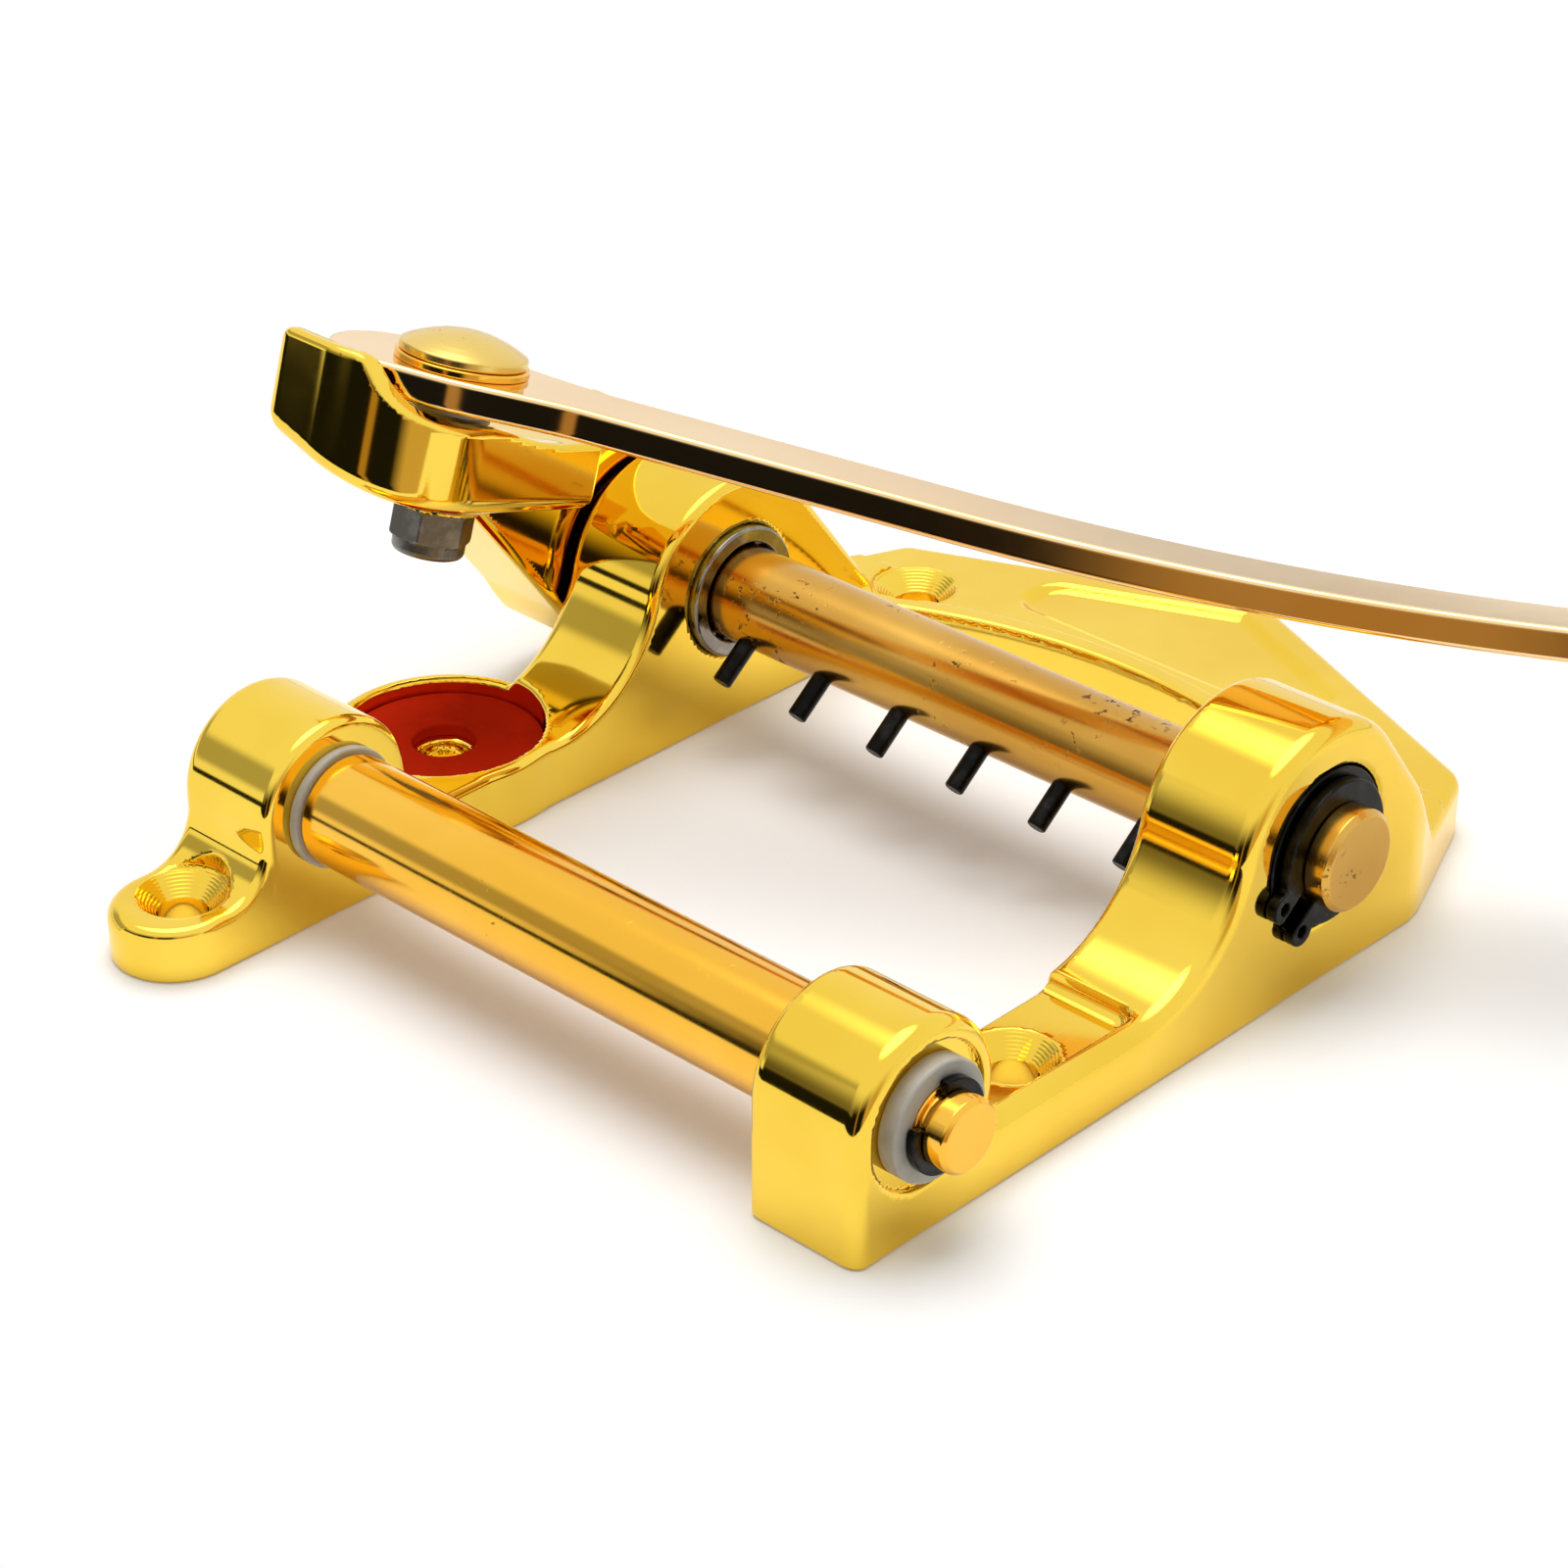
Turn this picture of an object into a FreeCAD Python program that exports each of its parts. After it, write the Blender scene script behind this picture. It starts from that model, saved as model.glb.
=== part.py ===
import FreeCAD, Part
import math
import os
import Sketcher

# Gold guitar tremolo bridge: a horseshoe casting that carries a rocking string shaft, a tension bar
# and a swivelling arm. Millimetres. X runs along the shafts, with the arm's bracket at -X. -Y is the
# front, where the strings leave, and +Z is up. The origin is midway between the two rear screw holes,
# on the mounting plane. Each piece is drawn about the string shaft's axis and then placed.

# Driving dimensions
DIMENSIONS = {
    # casting
    "half_width": 43.6,
    "post_width": 12.6,
    "screw_setback": 25.0,
    "shaft_height": 14.4,
    "post_radius": 12.3,
    "sweep_radius": 14.0,
    "ledge_height": 6.7,
    "bar_setback": 53.8,
    "bar_height": 11.7,
    "boss_radius": 8.8,
    "rear_slope_angle": 37.0,
    "side_end": 15.3,
    "corner_inset": 6.9,
    "corner_end": 32.0,
    "tail_end": 48.0,
    "plate_height": 6.2,
    "plate_front": 25.2,
    "plate_front_radius": 60.0,
    "rib_rise": 0.8,
    "rib_width": 2.6,
    "panel_border": 4.2,
    "panel_depth": 0.7,
    "panel_half_length": 19.0,
    "corner_round": 5.0,
    "tail_round": 6.0,
    "ledge_round": 2.0,
    "side_round": 10.0,
    "plate_round": 1.2,
    "outer_round": 1.7,
    "inner_round": 1.2,
    "screw_radius": 2.4,
    "countersink_rise": 1.9,
    "rear_screw_offset": 29.0,
    "tab_reach": 12.7,
    "tab_height": 5.6,
    "tab_screw_inset": 7.2,
    "tab_sweep": 5.0,
    "ledge_screw_setback": 34.6,
    "pocket_floor": 5.0,
    "pocket_rim": 2.2,
    "pocket_rear": 23.6,
    "cup_offset": 1.3,
    "cup_setback": 30.6,
    "cup_wall": 1.4,
    "cup_height": 6.4,
    "cup_floor": 3.6,
    "seat_radius": 10.0,
    "seat_thickness": 1.3,
    "seat_hole_radius": 3.2,
    "seat_clearance": 0.15,
    "seat_dimple_radius": 2.4,
    "seat_dimple_depth": 1.2,
    "counterbore_radius": 8.1,
    "counterbore_depth": 2.0,
    "bush_recess_radius": 6.9,
    "bush_recess_depth": 0.8,
    # string shaft, its pins and bearings
    "shaft_radius": 5.0,
    "shaft_proud": 3.8,
    "shaft_chamfer": 0.5,
    "pin_radius": 1.0,
    "pin_length": 10.6,
    "pin_proud": 4.7,
    "pin_pitch": 10.4,
    # the opening between the posts that the pitch is given for
    "pin_field": 62.0,
    "pin_angle": 38.0,
    "pin_chamfer": 0.2,
    "shell_radius": 7.0,
    "shell_wall": 0.5,
    "shell_length": 11.0,
    "shell_proud": 0.9,
    "shell_lip_gap": 0.35,
    "roller_gap": 0.02,
    "roller_end_gap": 0.8,
    "cage_wall": 0.9,
    "cage_play": 0.06,
    "ring_width": 1.1,
    "ring_wall": 2.1,
    "ring_groove_depth": 0.5,
    "ring_gap_angle": 34.0,
    "ring_lug_radius": 1.5,
    "ring_lug_hole_radius": 0.6,
    "ring_play": 0.1,
    "shim_radius": 7.6,
    "washer_play": 0.1,
    # tension bar, its bushes and clips
    "bar_radius": 5.6,
    "bar_end_radius": 3.5,
    "bar_proud": 4.6,
    "bar_chamfer": 0.4,
    "bush_radius": 5.0,
    "bush_flange_radius": 6.3,
    "bush_flange": 1.0,
    "bush_outer_flange": 2.0,
    "bush_play": 0.05,
    "bush_middle_gap": 0.6,
    "clip_width": 0.9,
    "clip_wall": 1.6,
    "clip_groove_depth": 0.6,
    "clip_mouth_angle": 70.0,
    # arm bracket
    "bracket_tilt": 17.2,
    "thrust_thickness": 0.6,
    "thrust_radius": 8.5,
    "hub_length": 12.4,
    "hub_radius": 11.6,
    "bracket_seat": 14.0,
    "bracket_thickness": 7.4,
    "bracket_front": 46.0,
    "bracket_inner": 6.6,
    "bracket_step": 17.5,
    "bracket_corner": 5.0,
    "bracket_sweep": 12.0,
    "bracket_rise": 5.0,
    "lug_height": 7.4,
    "lug_thickness": 1.8,
    "lug_length": 12.6,
    "lug_slope": 3.0,
    "lip_height": 3.0,
    "lip_end_height": 1.7,
    "lip_taper_start": 36.0,
    "lip_taper_end": 25.0,
    "gusset_reach": 17.0,
    "gusset_width": 9.0,
    "bracket_edge_round": 2.0,
    "nut_seat_margin": 0.4,
    "set_screw_radius": 2.0,
    "set_screw_length": 5.0,
    "set_screw_socket_radius": 1.1,
    "set_screw_socket_depth": 2.0,
    # arm and its bolt
    "bolt_offset": 0.8,
    "bolt_setback": 33.2,
    "arm_angle": 25.5,
    "arm_thickness": 3.2,
    "arm_half_width": 4.8,
    "arm_end_half_width": 7.2,
    "arm_tail": 6.2,
    "arm_neck": 15.0,
    "arm_straight": 50.0,
    "arm_bend_radius": 390.0,
    "arm_bend_angle": 8.4,
    "arm_reach": 80.0,
    "arm_edge_round": 0.5,
    "bolt_radius": 2.5,
    "bolt_play": 0.05,
    "bolt_head_radius": 6.3,
    "bolt_head_rim": 0.9,
    "bolt_head_height": 2.7,
    "bolt_tail": 0.2,
    "nut_across_flats": 7.2,
    "nut_hex_height": 3.4,
    "nut_collar_height": 1.5,
    "nut_collar_radius": 3.6,
    "head_washer_radius": 6.6,
    "head_washer_thickness": 0.8,
    "glide_washer_radius": 4.6,
    "glide_washer_thickness": 1.0,
    "flat_washer_radius": 3.7,
    "flat_washer_thickness": 1.0,
    "spring_washer_radius": 3.7,
    "spring_washer_thickness": 0.7,
    # shared by all cuts
    "overrun": 2.0,
}
COUNTS = {"pins": 6, "rollers": 14}

doc = FreeCAD.newDocument("tremolo_bridge")
sheet = doc.addObject("Spreadsheet::Sheet", "Dims")
for row, (alias, value) in enumerate(DIMENSIONS.items(), 1):
    sheet.set(f"A{row}", alias)
    sheet.set(f"B{row}", str(value))
    sheet.setAlias(f"B{row}", alias)
doc.recompute()


class Size:
    """A length or angle of the sheet: its present value and the formula that gives it."""

    def __init__(self, value, formula):
        self.value = value
        self.formula = formula

    def _join(self, other, sign, value):
        return Size(value, f"({self.formula} {sign} {as_size(other).formula})")

    def __add__(self, other):
        return self._join(other, "+", self.value + as_size(other).value)

    def __sub__(self, other):
        return self._join(other, "-", self.value - as_size(other).value)

    def __mul__(self, other):
        return self._join(other, "*", self.value * as_size(other).value)

    def __truediv__(self, other):
        return self._join(other, "/", self.value / as_size(other).value)

    def __neg__(self):
        return Size(-self.value, f"(-1 * {self.formula})")

    def __rmul__(self, other):
        return as_size(other) * self

    def __rsub__(self, other):
        return as_size(other) - self


def as_size(value):
    """A plain number as a Size."""
    if isinstance(value, Size):
        return value
    return Size(float(value), repr(float(value)))


def root(size):
    """The square root of a Size."""
    return Size(math.sqrt(size.value), f"sqrt({size.formula})")


def sine(angle):
    """The sine of an angle in degrees."""
    return Size(math.sin(math.radians(angle.value)), f"sin({angle.formula} * 1 deg)")


def cosine(angle):
    """The cosine of an angle in degrees."""
    return Size(math.cos(math.radians(angle.value)), f"cos({angle.formula} * 1 deg)")


class Cells:
    """The sheet's cells by alias."""

    def __getattr__(self, alias):
        return Size(float(sheet.get(alias)), f"Dims.{alias}")


D = Cells()
ZERO = as_size(0)
FLAT = FreeCAD.Rotation()
TIPPED = FreeCAD.Rotation(FreeCAD.Vector(-1, 0, 0), D.bracket_tilt.value)
PINS_DOWN = FreeCAD.Rotation(FreeCAD.Vector(1, 0, 0), D.pin_angle.value)
HALF = 0.5

# Sizes that several pieces share
INNER_FACE = D.half_width - D.post_width
SHAFT_END = D.half_width + D.shaft_proud
BAR_END = D.half_width + D.bar_proud
HUB_FACE = D.half_width + D.thrust_thickness + D.washer_play
HUB_END = HUB_FACE + D.hub_length
RACE_RADIUS = D.shell_radius - D.shell_wall
ROLLER_CIRCLE = (D.shaft_radius + RACE_RADIUS) * HALF
ROLLER_RADIUS = (RACE_RADIUS - D.shaft_radius) * HALF - D.roller_gap
RING_INNER = D.shaft_radius - D.ring_groove_depth
CLIP_INNER = D.bar_end_radius - D.clip_groove_depth
BRACKET_FLOOR = D.bracket_seat - D.bracket_thickness
ARM_FLOOR = (D.bracket_seat + D.spring_washer_thickness * 2 + D.flat_washer_thickness
             + D.glide_washer_thickness)
ARM_TOP = ARM_FLOOR + D.arm_thickness
BRACKET_SIDE = D.half_width - D.bracket_inner
BOLT_X = -D.half_width + D.bolt_offset
CUP_X = -D.half_width + D.cup_offset
SHAFT_PLACE = (ZERO, -D.screw_setback, D.shaft_height)
BAR_PLACE = (ZERO, -D.screw_setback - D.bar_setback, D.bar_height)
BASE_PLACE = (ZERO, -D.screw_setback, ZERO)
BOLT_PLACE = (BOLT_X,
              -D.screw_setback - D.bolt_setback * cosine(D.bracket_tilt),
              D.shaft_height + D.bolt_setback * sine(D.bracket_tilt))


def new_body(label, place, rotation=FLAT):
    """An empty body at a place given as three Sizes."""
    body = doc.addObject("PartDesign::Body", label)
    body.Label = label
    body.Placement = FreeCAD.Placement(FreeCAD.Vector(*(size.value for size in place)), rotation)
    for axis, size in zip("xyz", place):
        body.setExpression(f"Placement.Base.{axis}", size.formula)
    return body


def new_sketch(body, plane, height=ZERO):
    """A sketch on one of the body's own planes, raised along that plane's normal."""
    sketch = body.newObject("Sketcher::SketchObject", f"{body.Name}_sketch")
    support = [item for item in body.Origin.OriginFeatures if item.Role == plane][0]
    sketch.AttachmentSupport = [(support, "")]
    sketch.MapMode = "FlatFace"
    sketch.AttachmentOffset = FreeCAD.Placement(FreeCAD.Vector(0, 0, height.value), FLAT)
    sketch.setExpression("AttachmentOffset.Base.z", height.formula)
    return sketch


def bind(sketch, kind, *numbers_then_size):
    """Adds a constraint whose value follows a Size."""
    *numbers, size = numbers_then_size
    index = sketch.addConstraint(Sketcher.Constraint(kind, *numbers, size.value))
    sketch.setExpression(f"Constraints[{index}]", size.formula)


def draw_outline(sketch, points, bends=None):
    """A closed outline through the points.

    bends maps a point's index to (radius, side): the stretch that starts there is then an arc of
    under a half circle, which turns left for side +1 and right for side -1.
    """
    bends = bends or {}
    places = [FreeCAD.Vector(x.value, y.value, 0) for x, y in points]
    ends = []
    for index, start in enumerate(places):
        stop = places[(index + 1) % len(places)]
        if index not in bends:
            ends.append((sketch.addGeometry(Part.LineSegment(start, stop)), 1, 2))
            continue
        radius, side = bends[index]
        chord = stop - start
        rise = math.sqrt(max(radius.value ** 2 - chord.Length ** 2 / 4, 0))
        normal = FreeCAD.Vector(-chord.y, chord.x, 0).normalize()
        centre = (start + stop) * HALF + normal * rise * side
        first, last = (start, stop) if side > 0 else (stop, start)
        angles = [math.atan2((end - centre).y, (end - centre).x) for end in (first, last)]
        if angles[1] < angles[0]:
            angles[1] += 2 * math.pi
        circle = Part.Circle(centre, FreeCAD.Vector(0, 0, 1), radius.value)
        arc = sketch.addGeometry(Part.ArcOfCircle(circle, *angles))
        ends.append((arc, 1, 2) if side > 0 else (arc, 2, 1))
        bind(sketch, "Radius", arc, radius)
    for index, (geometry, _, last) in enumerate(ends):
        following, first, _ = ends[(index + 1) % len(ends)]
        sketch.addConstraint(Sketcher.Constraint("Coincident", geometry, last, following, first))
    for (geometry, first, _), (x, y) in zip(ends, points):
        bind(sketch, "DistanceX", geometry, first, x)
        bind(sketch, "DistanceY", geometry, first, y)


def draw_circle(sketch, x, y, radius):
    """A circle in a sketch."""
    circle = Part.Circle(FreeCAD.Vector(x.value, y.value, 0), FreeCAD.Vector(0, 0, 1), radius.value)
    index = sketch.addGeometry(circle)
    bind(sketch, "Radius", index, radius)
    bind(sketch, "DistanceX", index, 3, x)
    bind(sketch, "DistanceY", index, 3, y)


def pad(body, sketch, length, midplane=False):
    """Adds a sketch's outline as a prism along the sketch's normal."""
    feature = body.newObject("PartDesign::Pad", f"{body.Name}_pad")
    feature.Profile = sketch
    feature.Length = length.value
    feature.setExpression("Length", length.formula)
    if midplane:
        feature.SideType = "Symmetric"
    doc.recompute()
    return feature


def pocket(body, sketch, length):
    """Cuts a sketch's outline out of the body, along the sketch's normal."""
    before = body.Shape.Volume
    feature = body.newObject("PartDesign::Pocket", f"{body.Name}_pocket")
    feature.Profile = sketch
    feature.Length = length.value
    feature.setExpression("Length", length.formula)
    feature.Reversed = True
    doc.recompute()
    if not body.Shape.Volume < before:
        raise RuntimeError(f"{body.Label}: {feature.Name} cuts nothing")
    return feature


def turn(body, points, axis="H_Axis", bends=None):
    """Adds a solid of revolution of an outline about an axis of its sketch."""
    sketch = new_sketch(body, "XZ_Plane")
    draw_outline(sketch, points, bends)
    feature = body.newObject("PartDesign::Revolution", f"{body.Name}_turned")
    feature.Profile = sketch
    feature.ReferenceAxis = (sketch, [axis])
    feature.Angle = 360
    doc.recompute()
    return feature


def ring(body, start, stop, inner, outer):
    """A plain ring or, with an inner radius of zero, a rod along the body's X axis."""
    return turn(body, [(start, inner), (stop, inner), (stop, outer), (start, outer)])


def washer(body, floor, thickness, inner, outer):
    """A flat washer about the body's Z axis."""
    top = floor + thickness
    return turn(body, [(inner, floor), (outer, floor), (outer, top), (inner, top)], "V_Axis")


def finish_edges(body, kind, size_name, size, chosen):
    """Adds a fillet or chamfer on those edges of the body that the test picks."""
    base = body.Tip
    names = [f"Edge{index}" for index, edge in enumerate(base.Shape.Edges, 1) if chosen(edge)]
    if not names:
        raise RuntimeError(f"{body.Label}: no edge for the {kind}")
    feature = body.newObject(f"PartDesign::{kind}", f"{body.Name}_{kind.lower()}")
    feature.Base = (base, names)
    setattr(feature, size_name, size.value)
    feature.setExpression(size_name, size.formula)
    doc.recompute()
    if "Invalid" in feature.State or feature.Shape.isNull():
        raise RuntimeError(f"{body.Label}: {feature.Name} fails on {names}")
    return feature


def round_edges(body, radius, chosen):
    """Rounds those edges of the body that the test picks."""
    return finish_edges(body, "Fillet", "Radius", radius, chosen)


def chamfer_edges(body, size, chosen):
    """Bevels those edges of the body that the test picks."""
    return finish_edges(body, "Chamfer", "Size", size, chosen)


def box_of(edge):
    """An edge's bounding box."""
    return edge.BoundBox


def near(first, second):
    """Whether two lengths are the same."""
    return abs(first - second) < 1e-4 * D.half_width.value


def screw_hole(body, x, y, floor, top):
    """A countersunk screw hole up through the casting, turned about its own upright axis."""
    before = body.Shape.Volume
    sketch = new_sketch(body, "XZ_Plane", -y)
    wide = x + D.screw_radius + D.countersink_rise
    draw_outline(sketch, [
        (x, floor), (x + D.screw_radius, floor), (x + D.screw_radius, top - D.countersink_rise),
        (wide, top), (wide, top + D.overrun), (x, top + D.overrun),
    ])
    foot = FreeCAD.Vector(x.value, floor.value, 0)
    head = FreeCAD.Vector(x.value, top.value, 0)
    axis = sketch.addGeometry(Part.LineSegment(foot, head), True)
    for end, level in ((1, floor), (2, top)):
        bind(sketch, "DistanceX", axis, end, x)
        bind(sketch, "DistanceY", axis, end, level)
    feature = body.newObject("PartDesign::Groove", f"{body.Name}_screw_hole")
    feature.Profile = sketch
    feature.ReferenceAxis = (sketch, ["Axis0"])
    feature.Angle = 360
    doc.recompute()
    if not body.Shape.Volume < before:
        raise RuntimeError(f"{body.Label}: {feature.Name} cuts nothing")


def boss_meets(height):
    """Where the back of a front boss stands at a height."""
    drop = D.bar_height - height
    return -D.bar_setback + root(D.boss_radius * D.boss_radius - drop * drop)


def slope_foot():
    """Where a post's rear slope meets the plate's top."""
    rise = D.shaft_height + D.post_radius * sine(D.rear_slope_angle) - D.plate_height
    run = rise * sine(D.rear_slope_angle) / cosine(D.rear_slope_angle)
    return D.post_radius * cosine(D.rear_slope_angle) + run


def arm_profile(sketch):
    """The side view of one arm of the casting: front boss, ledge, sweep, post and rear slope."""
    sweep_rise = D.ledge_height + D.sweep_radius - D.shaft_height
    centres = D.post_radius + D.sweep_radius
    sweep_y = -root(centres * centres - sweep_rise * sweep_rise)
    post_share = D.post_radius / centres
    slope_y = D.post_radius * cosine(D.rear_slope_angle)
    slope_z = D.shaft_height + D.post_radius * sine(D.rear_slope_angle)
    foot_y = slope_foot()
    boss_y = boss_meets(D.ledge_height)
    front = -D.bar_setback - D.boss_radius
    draw_outline(sketch, [
        (front, ZERO),
        (foot_y, ZERO),
        (foot_y, D.plate_height),
        (slope_y, slope_z),
        (ZERO, D.shaft_height + D.post_radius),
        (sweep_y * post_share, D.shaft_height + sweep_rise * post_share),
        (sweep_y, D.ledge_height),
        (boss_y, D.ledge_height),
        (-D.bar_setback, D.bar_height + D.boss_radius),
        (front, D.bar_height),
    ], {
        3: (D.post_radius, 1),
        4: (D.post_radius, 1),
        5: (D.sweep_radius, -1),
        7: (D.boss_radius, 1),
        8: (D.boss_radius, 1),
    })


def front_arc(radius, x):
    """The place of the plate's curved front edge at a distance from the middle."""
    return D.plate_front - D.plate_front_radius + root(radius * radius - x * x)


def make_frame():
    """The casting: rear plate, two arms with posts and bosses, front tab and spring cup."""
    body = new_body("main_frame", BASE_PLACE)
    corner_x = D.half_width - D.corner_inset
    edge = front_arc(D.plate_front_radius, INNER_FACE)

    sketch = new_sketch(body, "XY_Plane")
    draw_outline(sketch, [
        (-D.half_width, ZERO), (-INNER_FACE, ZERO), (-INNER_FACE, edge), (INNER_FACE, edge),
        (INNER_FACE, ZERO), (D.half_width, ZERO), (D.half_width, D.side_end),
        (corner_x, D.corner_end), (ZERO, D.tail_end), (-corner_x, D.corner_end),
        (-D.half_width, D.side_end),
    ], {2: (D.plate_front_radius, -1)})
    pad(body, sketch, D.plate_height)

    # the two arms, cut back to the plate's slanting sides
    for start in (INNER_FACE, -D.half_width):
        sketch = new_sketch(body, "YZ_Plane", start)
        arm_profile(sketch)
        pad(body, sketch, D.post_width)
    for side in (1, -1):
        sketch = new_sketch(body, "XY_Plane")
        points = [
            (side * D.half_width, D.side_end),
            (side * (D.half_width + D.overrun), D.side_end),
            (side * (D.half_width + D.overrun), D.corner_end),
            (side * corner_x, D.corner_end),
        ]
        draw_outline(sketch, points if side > 0 else points[::-1])
        pocket(body, sketch, D.shaft_height + D.post_radius + D.overrun)

    # front tab with its rounded end
    boss_front = -D.bar_setback - D.boss_radius
    tab_front = boss_front - D.tab_reach
    tab_radius = D.post_width * HALF
    tab_x = -INNER_FACE - tab_radius
    sketch = new_sketch(body, "XY_Plane")
    draw_outline(sketch, [
        (-D.half_width, -D.bar_setback), (-D.half_width, tab_front + tab_radius),
        (tab_x, tab_front), (-INNER_FACE, tab_front + tab_radius), (-INNER_FACE, -D.bar_setback),
    ], {1: (tab_radius, 1), 2: (tab_radius, 1)})
    pad(body, sketch, D.tab_height)

    def crossing(y, z):
        """A test for an edge that runs straight across the casting at a place."""
        def chosen(edge):
            box = box_of(edge)
            level = near(box.ZMin, z.value) and near(box.ZMax, z.value)
            return level and near(box.YMin, y.value) and near(box.YMax, y.value)
        return chosen

    def upright(y):
        """A test for an upright edge of the outline."""
        def chosen(edge):
            box = box_of(edge)
            plumb = near(box.XLength, 0) and near(box.YLength, 0)
            return plumb and near(box.YMin, y.value)
        return chosen

    crown = (D.shaft_height + D.post_radius).value

    def over_post(x):
        """A test for the edges over a post at one of its faces."""
        def chosen(edge):
            box = box_of(edge)
            return near(box.XMin, x.value) and near(box.XMax, x.value) and near(box.ZMax, crown)
        return chosen

    # inside corners and the outline first, so that each top edge is one smooth run
    round_edges(body, D.ledge_round, crossing(boss_meets(D.ledge_height), D.ledge_height))
    round_edges(body, D.tab_sweep, crossing(boss_front, D.tab_height))
    round_edges(body, D.inner_round, over_post(INNER_FACE))
    round_edges(body, D.side_round, upright(D.side_end))
    round_edges(body, D.corner_round, upright(D.corner_end))
    round_edges(body, D.tail_round, upright(D.tail_end))

    def plate_rim(edge):
        """A test for the top edges of the tail."""
        box = box_of(edge)
        level = near(box.ZMin, D.plate_height.value) and near(box.ZMax, D.plate_height.value)
        return level and box.YMin > D.corner_end.value

    round_edges(body, D.plate_round, plate_rim)
    for side in (1, -1):
        round_edges(body, D.outer_round, over_post(side * D.half_width))

    # raised rib along the plate's curved front edge
    rib_radius = D.plate_front_radius + D.rib_width
    rib_edge = front_arc(rib_radius, INNER_FACE)
    sketch = new_sketch(body, "XY_Plane")
    draw_outline(sketch, [
        (-INNER_FACE, edge), (INNER_FACE, edge), (INNER_FACE, rib_edge), (-INNER_FACE, rib_edge),
    ], {0: (D.plate_front_radius, -1), 2: (rib_radius, 1)})
    pad(body, sketch, D.plate_height + D.rib_rise)

    screw_hole(body, tab_x, tab_front + D.tab_screw_inset, ZERO, D.tab_height)

    # spring cup in the left arm
    cup_radius = D.seat_radius + D.seat_clearance
    sketch = new_sketch(body, "XY_Plane")
    draw_circle(sketch, CUP_X, -D.cup_setback, cup_radius + D.cup_wall)
    pad(body, sketch, D.cup_height)
    sketch = new_sketch(body, "XY_Plane", D.cup_floor)
    draw_circle(sketch, CUP_X, -D.cup_setback, cup_radius)
    pocket(body, sketch, D.shaft_height + D.post_radius)
    sketch = new_sketch(body, "XY_Plane", D.cup_floor - D.seat_dimple_depth)
    draw_circle(sketch, CUP_X, -D.cup_setback, D.seat_dimple_radius)
    pocket(body, sketch, D.seat_dimple_depth)

    # sunk ledge with a screw hole in the right arm
    sketch = new_sketch(body, "XY_Plane", D.pocket_floor)
    pocket_front = boss_meets(D.ledge_height) + D.ledge_round
    pocket_outer = D.half_width - D.pocket_rim
    draw_outline(sketch, [
        (INNER_FACE - D.overrun, pocket_front), (pocket_outer, pocket_front),
        (pocket_outer, -D.pocket_rear), (INNER_FACE - D.overrun, -D.pocket_rear),
    ])
    pocket(body, sketch, D.ledge_height - D.pocket_floor + D.sweep_radius * HALF * HALF)
    screw_hole(body, INNER_FACE + (D.post_width - D.pocket_rim) * HALF, -D.ledge_screw_setback,
               ZERO, D.pocket_floor)

    # bores for the shaft's bearings and the tension bar's bushes
    sketch = new_sketch(body, "YZ_Plane", -D.half_width - D.overrun)
    draw_circle(sketch, ZERO, D.shaft_height, D.shell_radius)
    draw_circle(sketch, -D.bar_setback, D.bar_height, D.bush_radius)
    pocket(body, sketch, (D.half_width + D.overrun) * 2)
    sketch = new_sketch(body, "YZ_Plane", D.half_width - D.counterbore_depth)
    draw_circle(sketch, ZERO, D.shaft_height, D.counterbore_radius)
    pocket(body, sketch, D.counterbore_depth + D.overrun)
    sketch = new_sketch(body, "YZ_Plane", D.half_width - D.bush_recess_depth)
    draw_circle(sketch, -D.bar_setback, D.bar_height, D.bush_recess_radius)
    pocket(body, sketch, D.bush_recess_depth + D.overrun)
    sketch = new_sketch(body, "YZ_Plane", -D.half_width - D.overrun)
    draw_circle(sketch, -D.bar_setback, D.bar_height, D.bush_recess_radius)
    pocket(body, sketch, D.bush_recess_depth + D.overrun)

    # rear screw holes and the sunk panel that follows the tail
    for side in (1, -1):
        screw_hole(body, side * D.rear_screw_offset, D.screw_setback, ZERO, D.plate_height)
    slant = (D.tail_end - D.corner_end) / corner_x
    panel_tail = D.tail_end - D.panel_border
    panel_side = panel_tail - slant * D.panel_half_length
    panel_front = D.plate_front + D.rib_width + D.panel_border * HALF
    sketch = new_sketch(body, "XY_Plane", D.plate_height - D.panel_depth)
    draw_outline(sketch, [
        (-D.panel_half_length, panel_front), (D.panel_half_length, panel_front),
        (D.panel_half_length, panel_side), (ZERO, panel_tail), (-D.panel_half_length, panel_side),
    ])
    pocket(body, sketch, D.panel_depth + D.rib_rise)
    return body


def make_spring_seat():
    """The red fibre washer in the spring cup."""
    place = (CUP_X, -D.screw_setback - D.cup_setback, D.cup_floor)
    body = new_body("spring_seat_washer", place)
    washer(body, ZERO, D.seat_thickness, D.seat_hole_radius, D.seat_radius)
    return body


def pin_place(index):
    """The distance of a string pin from the middle: the pitch widens with the opening between the posts."""
    pitch = D.pin_pitch * (INNER_FACE * 2 / D.pin_field)
    return pitch * (index - (COUNTS["pins"] - 1) * HALF)


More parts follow.
